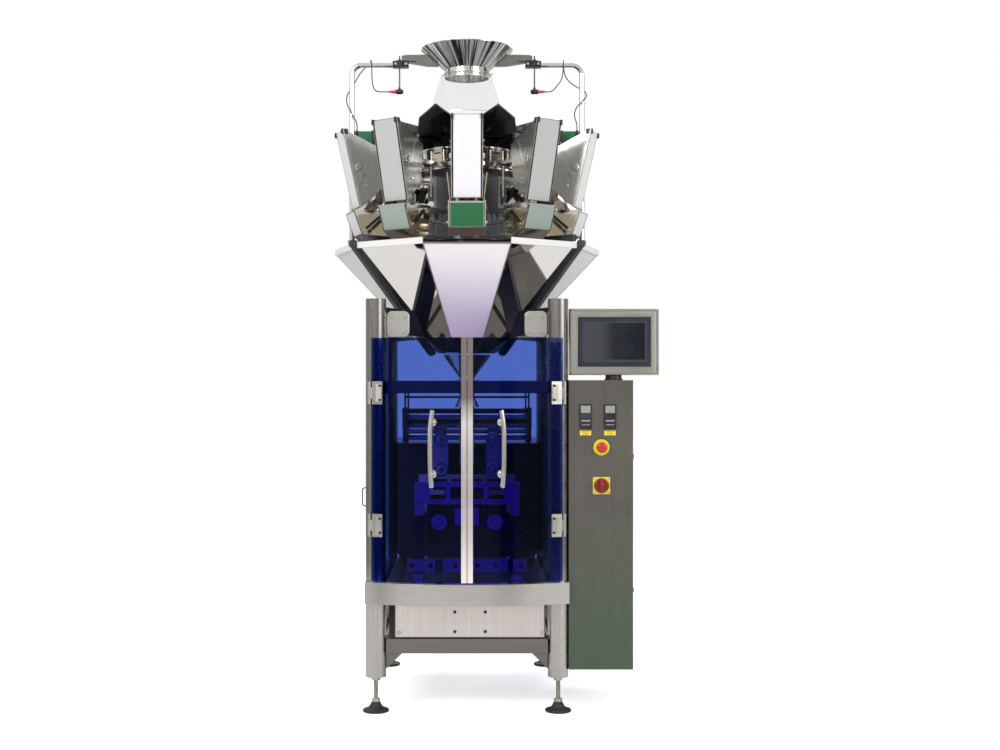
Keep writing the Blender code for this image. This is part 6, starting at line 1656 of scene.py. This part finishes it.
def cone_finish():
    """Polished cone sheet with light and dark stripes running down it, painted reflections."""
    made, tree, shader, place = blank_finish("cone_sheet")
    split = tree.add("ShaderNodeSeparateXYZ")
    tree.feed(split.inputs[0], place)
    across = tree.math("SUBTRACT", split.outputs["X"], AXIS.x)
    along = tree.math("SUBTRACT", split.outputs["Y"], AXIS.y)
    angle = tree.math("ARCTAN2", along, across)
    joined_up = tree.add("ShaderNodeCombineXYZ")
    tree.feed(joined_up.inputs["X"], tree.math("MULTIPLY", angle, 5.5))
    tree.feed(joined_up.inputs["Y"], tree.math("MULTIPLY", split.outputs["Z"], 1.2))
    # Painted reflections: near-black and near-white stripes round the cone.
    reflection_streaks = tree.noise(joined_up.outputs[0], 1.6, 3.0, 0.62)
    reflection_mask = tree.spread(reflection_streaks, 0.46, 0.56)
    reflected_streaks = tree.blend(reflection_mask, (0.9, 0.89, 0.87, 1.0), (0.035, 0.04, 0.038, 1.0))
    tree.feed(shader.inputs["Base Color"], reflected_streaks)
    handling = tree.group(HANDLING, Vector=place)
    smudged = tree.math("MULTIPLY", handling.outputs["Smudges"], 0.1)
    tree.feed(shader.inputs["Roughness"], tree.math("ADD", smudged, 0.12, clamp=True))
    shader.inputs["Metallic"].default_value = 0.55
    brushing = tree.group(BRUSHING, Vector=place, Stretch=ALONG_Z)
    bumped(tree, shader, brushing.outputs["Lines"], 0.04, 0.0003)
    return made


CONE_STEEL = cone_finish()
ROD_Y = -0.018
STRAP_STEEL = metal("cone_strap", "7d7b76", 0.22, ALONG_X, 0.3)


def pleated(profile, sides, swing):
    """A closed outline spun round with every other line of the sheet set in by swing."""
    points, faces = lathe(profile, sides)
    made = []
    for x, y, z in points:
        angle = math.atan2(y, x)
        step = round(angle / (2 * math.pi / sides))
        wave = math.sin(step * 2.4) * 0.5 + math.sin(step * 5.3 + 1.0) * 0.5
        share = 1.0 + swing * wave
        made.append((x * share, y * share, z))
    return made, faces


def infeed():
    cone = [(0.09, 2.49), (0.184, 2.5735), (0.185, 2.575), (0.183, 2.5745), (0.0882, 2.4905)]
    piece("infeed_cone_sheet", [pleated(cone, 60, 0.014)], CONE_STEEL, slot="polished_steel",
          replaces=["infeed_cone"], smooth=7.0)
    neck = [(0.09, 2.455), (0.09, 2.4905), (0.0882, 2.4905), (0.0882, 2.455)]
    rim = [(0.1822, 2.5722), (0.1846, 2.5722), (0.185, 2.574), (0.184, 2.575), (0.1824, 2.5745)]
    piece("infeed_neck", [lathe(neck, 96), lathe(rim, 96)], POLISHED_STEEL, slot="polished_steel")
    band = [(0.0902, 2.47), (0.0935, 2.4705), (0.0935, 2.4775), (0.0902, 2.478)]
    lug = block((0.0915, 0.1045), (-0.006, 0.006), (2.469, 2.479))
    piece("neck_band", [lathe(band, 96), lug], SATIN_STEEL, slot="polished_steel", ease=0.0005)
    slats("neck_holes", 22, (0.0, -0.0905, 2.483), (0.005, 0.0012, 0.0042), DARK_STEEL,
          turn=math.radians(8.0))
    skirt = [
        (0.108, 2.4655), (0.109, 2.464), (0.1555, 2.3025), (0.154, 2.302), (0.1072, 2.463),
        (0.0903, 2.463), (0.0903, 2.4655),
    ]
    piece("skirt_sheet", [pleated(skirt, 60, 0.004)], CLEAR_PLASTIC, slot="clear_plastic",
          replaces=["clear_skirt"], smooth=20.0)
    hem = lathe([(0.1552, 2.304), (0.157, 2.3036), (0.1574, 2.3012), (0.1552, 2.3012)], 96)
    piece("skirt_hem", [hem], SATIN_STEEL, slot="clear_plastic")


def sided_piece(name, side, shells, finish, slot, replaces=(), **look):
    """A fixed piece drawn on the right, or mirrored to the left."""
    placed = [sided(shell, side) for shell in shells]
    piece(f"{name}_{side}", placed, finish, "frame", slot, replaces, **look)


def funnel_arms():
    """Each bent tube with its clamp, the cone's strap, the lead's gland and its foot."""
    bend = arc((ARM_X - ARM_BEND, ARM_Z - ARM_BEND), ARM_BEND, 0.0, math.pi / 2, 14)
    corners = [(ARM_X, ARM_LOW), (ARM_X, 2.1), (ARM_X, ARM_Z - ARM_BEND - 0.02)]
    corners += bend + [(0.35, ARM_Z), (ARM_END, ARM_Z)]
    tube = sweep([(x, 0.0, z) for x, z in corners], ARM_RADIUS, 28)
    grip = [(0.3, 2.502), (0.3, 2.527), (0.276, 2.529), (0.236, 2.529), (0.236, 2.502)]
    clamp = [prism(grip, -0.0175, 0.0175, "Y"), block((0.205, 0.262), (-0.0175, 0.0175), (2.524, 2.527))]
    wedge = [
        (0.264, 2.526), (0.264, 2.548), (0.25, 2.552), (0.162, 2.5535), (0.114, 2.508),
        (0.16, 2.509),
    ]
    strap = prism(wedge, -0.014, 0.014, "Y")
    plug = [
        (0.0, 2.205), (0.0046, 2.205), (0.006, 2.2075), (0.006, 2.223), (0.0046, 2.2245),
        (0.0046, 2.227), (0.006, 2.229), (0.0056, 2.245), (0.004, 2.25), (0.0, 2.25),
    ]
    gland = [lathe(plug, 24, (GLAND_X, 0.0, 0.0)),
             block((GLAND_X, ARM_X - 0.004), (-0.004, 0.004), (2.213, 2.231))]
    step = ARM_LOW + 0.006
    base = lathe([(0.0, ARM_LOW), (0.0185, ARM_LOW), (0.018, step - 0.001), (0.0125, step), (0.0, step)],
                 36, (ARM_X, 0.0, 0.0))
    for side in SIDES:
        sign = 1 if side == "right" else -1
        sided_piece("arm_tube", side, [tube], POLISHED_STEEL, "polished_steel", [f"funnel_arm_{side}"])
        sided_piece("arm_clamp", side, clamp, SHADOW_STEEL, "dark_steel", ease=0.002)
        sided_piece("cone_strap", side, [strap], STRAP_STEEL, "polished_steel", ease=0.0008)
        screws = [(sign * x, -0.018, 2.5155) for x in (0.246, 0.288)]
        fasteners(f"clamp_screws_{side}", screws, 0.0036, 0.003, "-Y", SATIN_STEEL)
        screws = [(sign * x, 0.0, 2.5295) for x in (0.246, 0.282)]
        fasteners(f"clamp_top_screws_{side}", screws, 0.0045, 0.0036, "+Z", SATIN_STEEL)
        sided_piece("lead_gland", side, gland, BLACK_PLASTIC, "black_plastic", smooth=40.0)
        sided_piece("arm_foot", side, [base], SATIN_STEEL, "polished_steel")


def guards():
    """Green plates between the side heads, clipped to the arms' tubes."""
    outline = [(0.357, 2.246), (0.4545, 2.246), (0.4545, 2.23), (0.357, 2.155)]
    plate = prism(outline, -0.0015, 0.0015, "Y")
    for side in SIDES:
        piece(f"green_guard_{side}", [sided(plate, side)], GREEN_FILM, slot="gate_green", ease=0.0005)


guards()


def sensors():
    """Each level sensor: its holder on the arm, stem, body with a lens, and ribbed boot."""
    holder = [block((SENSOR_X - 0.01, SENSOR_X + 0.01), (-0.0273, -0.0113), (2.5, 2.528)),
              rod((SENSOR_X, ROD_Y, 2.528), (SENSOR_X, ROD_Y, 2.533), 0.0052, 24, 0.0008),
              block((SENSOR_X - 0.0045, SENSOR_X + 0.0045), (-0.03, -0.027), (2.506, 2.522))]
    stem = rod((SENSOR_X, ROD_Y, 2.41), (SENSOR_X, ROD_Y, 2.546), 0.003, 18, 0.0006)
    profile = [
        (0.0, -0.015), (0.0072, -0.015), (0.0082, -0.014), (0.0082, -0.0105), (0.01, -0.01),
        (0.01, 0.01), (0.0092, 0.0112), (0.0092, 0.014), (0.008, 0.015), (0.0, 0.015),
    ]
    spot = (SENSOR_X, ROD_Y, SENSOR_Z)
    body = [lathe(profile, 32, spot, "X"),
            rod((SENSOR_X, ROD_Y, 2.408), (SENSOR_X, ROD_Y, 2.419), 0.005, 20, 0.0008)]
    boot = [(0.0, 0.0148), (0.008, 0.015)]
    for step in range(8):
        reach = 0.0165 + step * 0.0036
        radius = 0.0078 - step * 0.00048
        boot += [(radius, reach), (radius - 0.001, reach + 0.0014), (radius - 0.001, reach + 0.002)]
    boot += [(0.0038, 0.0468), (0.0, 0.0468)]
    lens = rod((SENSOR_X - 0.015, ROD_Y, SENSOR_Z), (SENSOR_X - 0.0156, ROD_Y, SENSOR_Z), 0.006, 24)
    boot = lathe(boot, 28, spot, "X")
    for side in SIDES:
        sided_piece("sensor_holder", side, holder, BLACK_PLASTIC, "black_plastic",
                    [f"level_sensor_{side}"], ease=0.001)
        sided_piece("sensor_stem", side, [stem], DARK_STEEL, "dark_steel")
        sided_piece("sensor_body", side, body, BLACK_PLASTIC, "black_plastic", smooth=40.0)
        sided_piece("sensor_boot", side, [boot], BOOT_RED, "red_plastic", smooth=60.0)
        sided_piece("sensor_lens", side, [lens], SCREEN_GLASS, "black_plastic")


infeed()
funnel_arms()
sensors()


# ---------------------------------------------------------------- inside the machine
BELT_X = 0.107
PULLEY_Z = (0.877, 1.0)
ROLLER_STEEL = metal("roller_tube", "b9b3c6", 0.2, ALONG_X, 0.1, 0.05, 0.02)


def film_path():
    """Two side plates, a light frame above them and the rollers and bars the film runs over."""
    outline = [(0.05, 0.985), (0.06, 0.973), (0.33, 0.973), (0.42, 1.01), (0.42, 1.12), (0.05, 1.12)]
    plates = [prism(outline, 0.25, 0.256, "X")]
    plates += [block((0.2495, 0.256), (y - 0.014, y + 0.014), (1.11, 1.1868)) for y in (0.07, 0.38)]
    plates += [block((0.248, 0.266), (0.1, 0.2), (1.04, 1.126)),
               block((0.248, 0.27), (0.22, 0.33), (0.98, 1.07))]
    piece("film_side_plates", both(*plates), DARK_INNER, slot="satin_steel",
          replaces=["film_frame"], ease=0.0015)
    bars = ((0.07, 1.17, 0.0045), (0.12, 1.112, 0.011), (0.18, 1.0685, 0.011), (0.25, 1.024, 0.009))
    rolls = ((0.13, 1.088, 0.011), (0.235, 1.048, 0.011), (0.3, 0.998, 0.012), (0.075, 1.032, 0.007))
    dark, light = [[rod((-0.251, y, z), (0.251, y, z), radius, 36) for y, z, radius in rows]
                   for rows in (bars, rolls)]
    nuts = [rod((0.255, y, z), (0.264, y, z), radius * 0.8, 6, 0.001) for y, z, radius in rolls]
    piece("film_bars", dark, DARK_INNER, slot="satin_steel", smooth=50.0)
    piece("film_rollers", light, ROLLER_STEEL, slot="satin_steel", smooth=50.0)
    piece("roller_nuts", both(*nuts), SATIN_STEEL, slot="satin_steel")


def guide_details():
    """Plates, hubs and the drive's block in front of the jaw guides, with their bolts."""
    front = -0.3
    plates = [block((low, high), (front - 0.0016, front - 0.0002), (0.5015, 0.5495))
              for low, high in ((-0.229, -0.122), (-0.092, 0.158), (0.176, 0.229))]
    piece("lower_plates", plates, VIOLET_LIT_STEEL, slot="dark_steel", ease=0.0006)
    spots = [(x, front - 0.003, 0.526) for x in (-0.212, -0.14, -0.045, 0.04, 0.11, 0.205)]
    fasteners("lower_plate_bolts", spots, 0.0062, 0.004, "-Y", DARK_INNER)
    centre = (BELT_X, 0.0, 0.692)
    hub = [(0.0, -0.3038), (0.0085, -0.3038), (0.0085, -0.3105), (0.0, -0.311)]
    rim = [(0.018, -0.304), (0.03, -0.304), (0.03, -0.3062), (0.0265, -0.3072), (0.0185, -0.3055)]
    hubs = both(lathe(hub, 32, centre, "Y"), lathe(rim, 48, centre, "Y"))
    piece("guide_hubs", hubs, VIOLET_LIT_STEEL, slot="dark_steel", smooth=40.0)
    cover = block((-0.0455, 0.0455), (-0.3076, -0.3062), (0.681, 0.744))
    piece("drive_block_cover", [cover], VIOLET_LIT_STEEL, slot="dark_steel", ease=0.0006)


def inside():
    """Forming tube, film path, belts, sealer, jaws and their guides, film shaft and casing."""
    softened("rear_casing", DARK_INNER, "frame", 0.002)
    strip = block((-0.297, 0.297), (0.446, 0.45), (0.4706, 0.498))
    piece("casing_skirting", [strip], DARK_INNER, slot="brushed_steel", ease=0.0006)
    softened("forming_tube", POLISHED_STEEL, "frame", 0.0006)
    film_path()
    rods_and_hubs = [
        (POLISHED_STEEL, lambda spot: abs(abs(spot.x) - 0.185) < 0.0085 and abs(spot.z - 0.7) < 0.0085),
        (VIOLET_LIT_STEEL, lambda spot: spot.z < 0.551 and spot.y < 0.0),
        (SATIN_STEEL, lambda spot: abs(abs(spot.x) - BELT_X) < 0.032 and abs(spot.z - 0.692) < 0.032),
    ]
    softened("jaw_guide_frame", DARK_INNER, "frame", 0.0015, zones=rods_and_hubs)
    guide_details()
    heater = [(BRONZE_STEEL, lambda spot: -0.0785 < spot.y < -0.07 and abs(spot.x) < 0.0145)]
    softened("vertical_sealer", SATIN_STEEL, "vertical_sealer", 0.0008, zones=heater)
    bar_zone = [(DARK_STEEL, lambda spot: abs(spot.y) < 0.101)]
    for jaw in ("jaw_front", "jaw_rear"):
        softened(jaw, VIOLET_LIT_STEEL, jaw, 0.0012, zones=bar_zone)
    chucks = [(BLACK_PLASTIC, lambda spot: math.hypot(spot.y - 0.64, spot.z - 0.63) > 0.0122)]
    softened("film_shaft", SATIN_STEEL, "film_shaft", 0.0008, zones=chucks)
    face = [(0.0, -0.0212), (0.012, -0.0212), (0.012, -0.0245), (0.0105, -0.0255), (0.0, -0.0255)]
    ring = [(0.0215, -0.0205), (0.0295, -0.0205), (0.03, -0.0225), (0.028, -0.0235), (0.0225, -0.0225)]
    for side in SIDES:
        belt = f"pull_belt_{side}"
        belt_x = BELT_X if side == "right" else -BELT_X

        def on_belt(spot, belt_x=belt_x):
            nearest = min(max(spot.z, PULLEY_Z[0]), PULLEY_Z[1])
            beyond = math.hypot(abs(spot.x - belt_x), spot.z - nearest) > 0.0285
            return beyond and abs(spot.y) < 0.0205

        zones = [(BELT_RUBBER, on_belt), (DARK_STEEL, lambda spot: spot.y > 0.03)]
        softened(belt, VIOLET_LIT_STEEL, belt, 0.0006, zones=zones)
        rings = [lathe(line, sides, (belt_x, 0.0, z), "Y")
                 for z in PULLEY_Z for line, sides in ((face, 32), (ring, 48))]
        piece(f"pulley_faces_{side}", rings, SATIN_STEEL, belt, "satin_steel", smooth=40.0)
    across = (-0.19, -0.114, -0.0735, 0.0735, 0.114, 0.19)
    spots = [(x, -0.264, z) for x in across for z in (0.767, 0.833)]
    fasteners("jaw_plate_bolts", spots, 0.005, 0.0036, "-Y", SATIN_STEEL, "jaw_front")


inside()
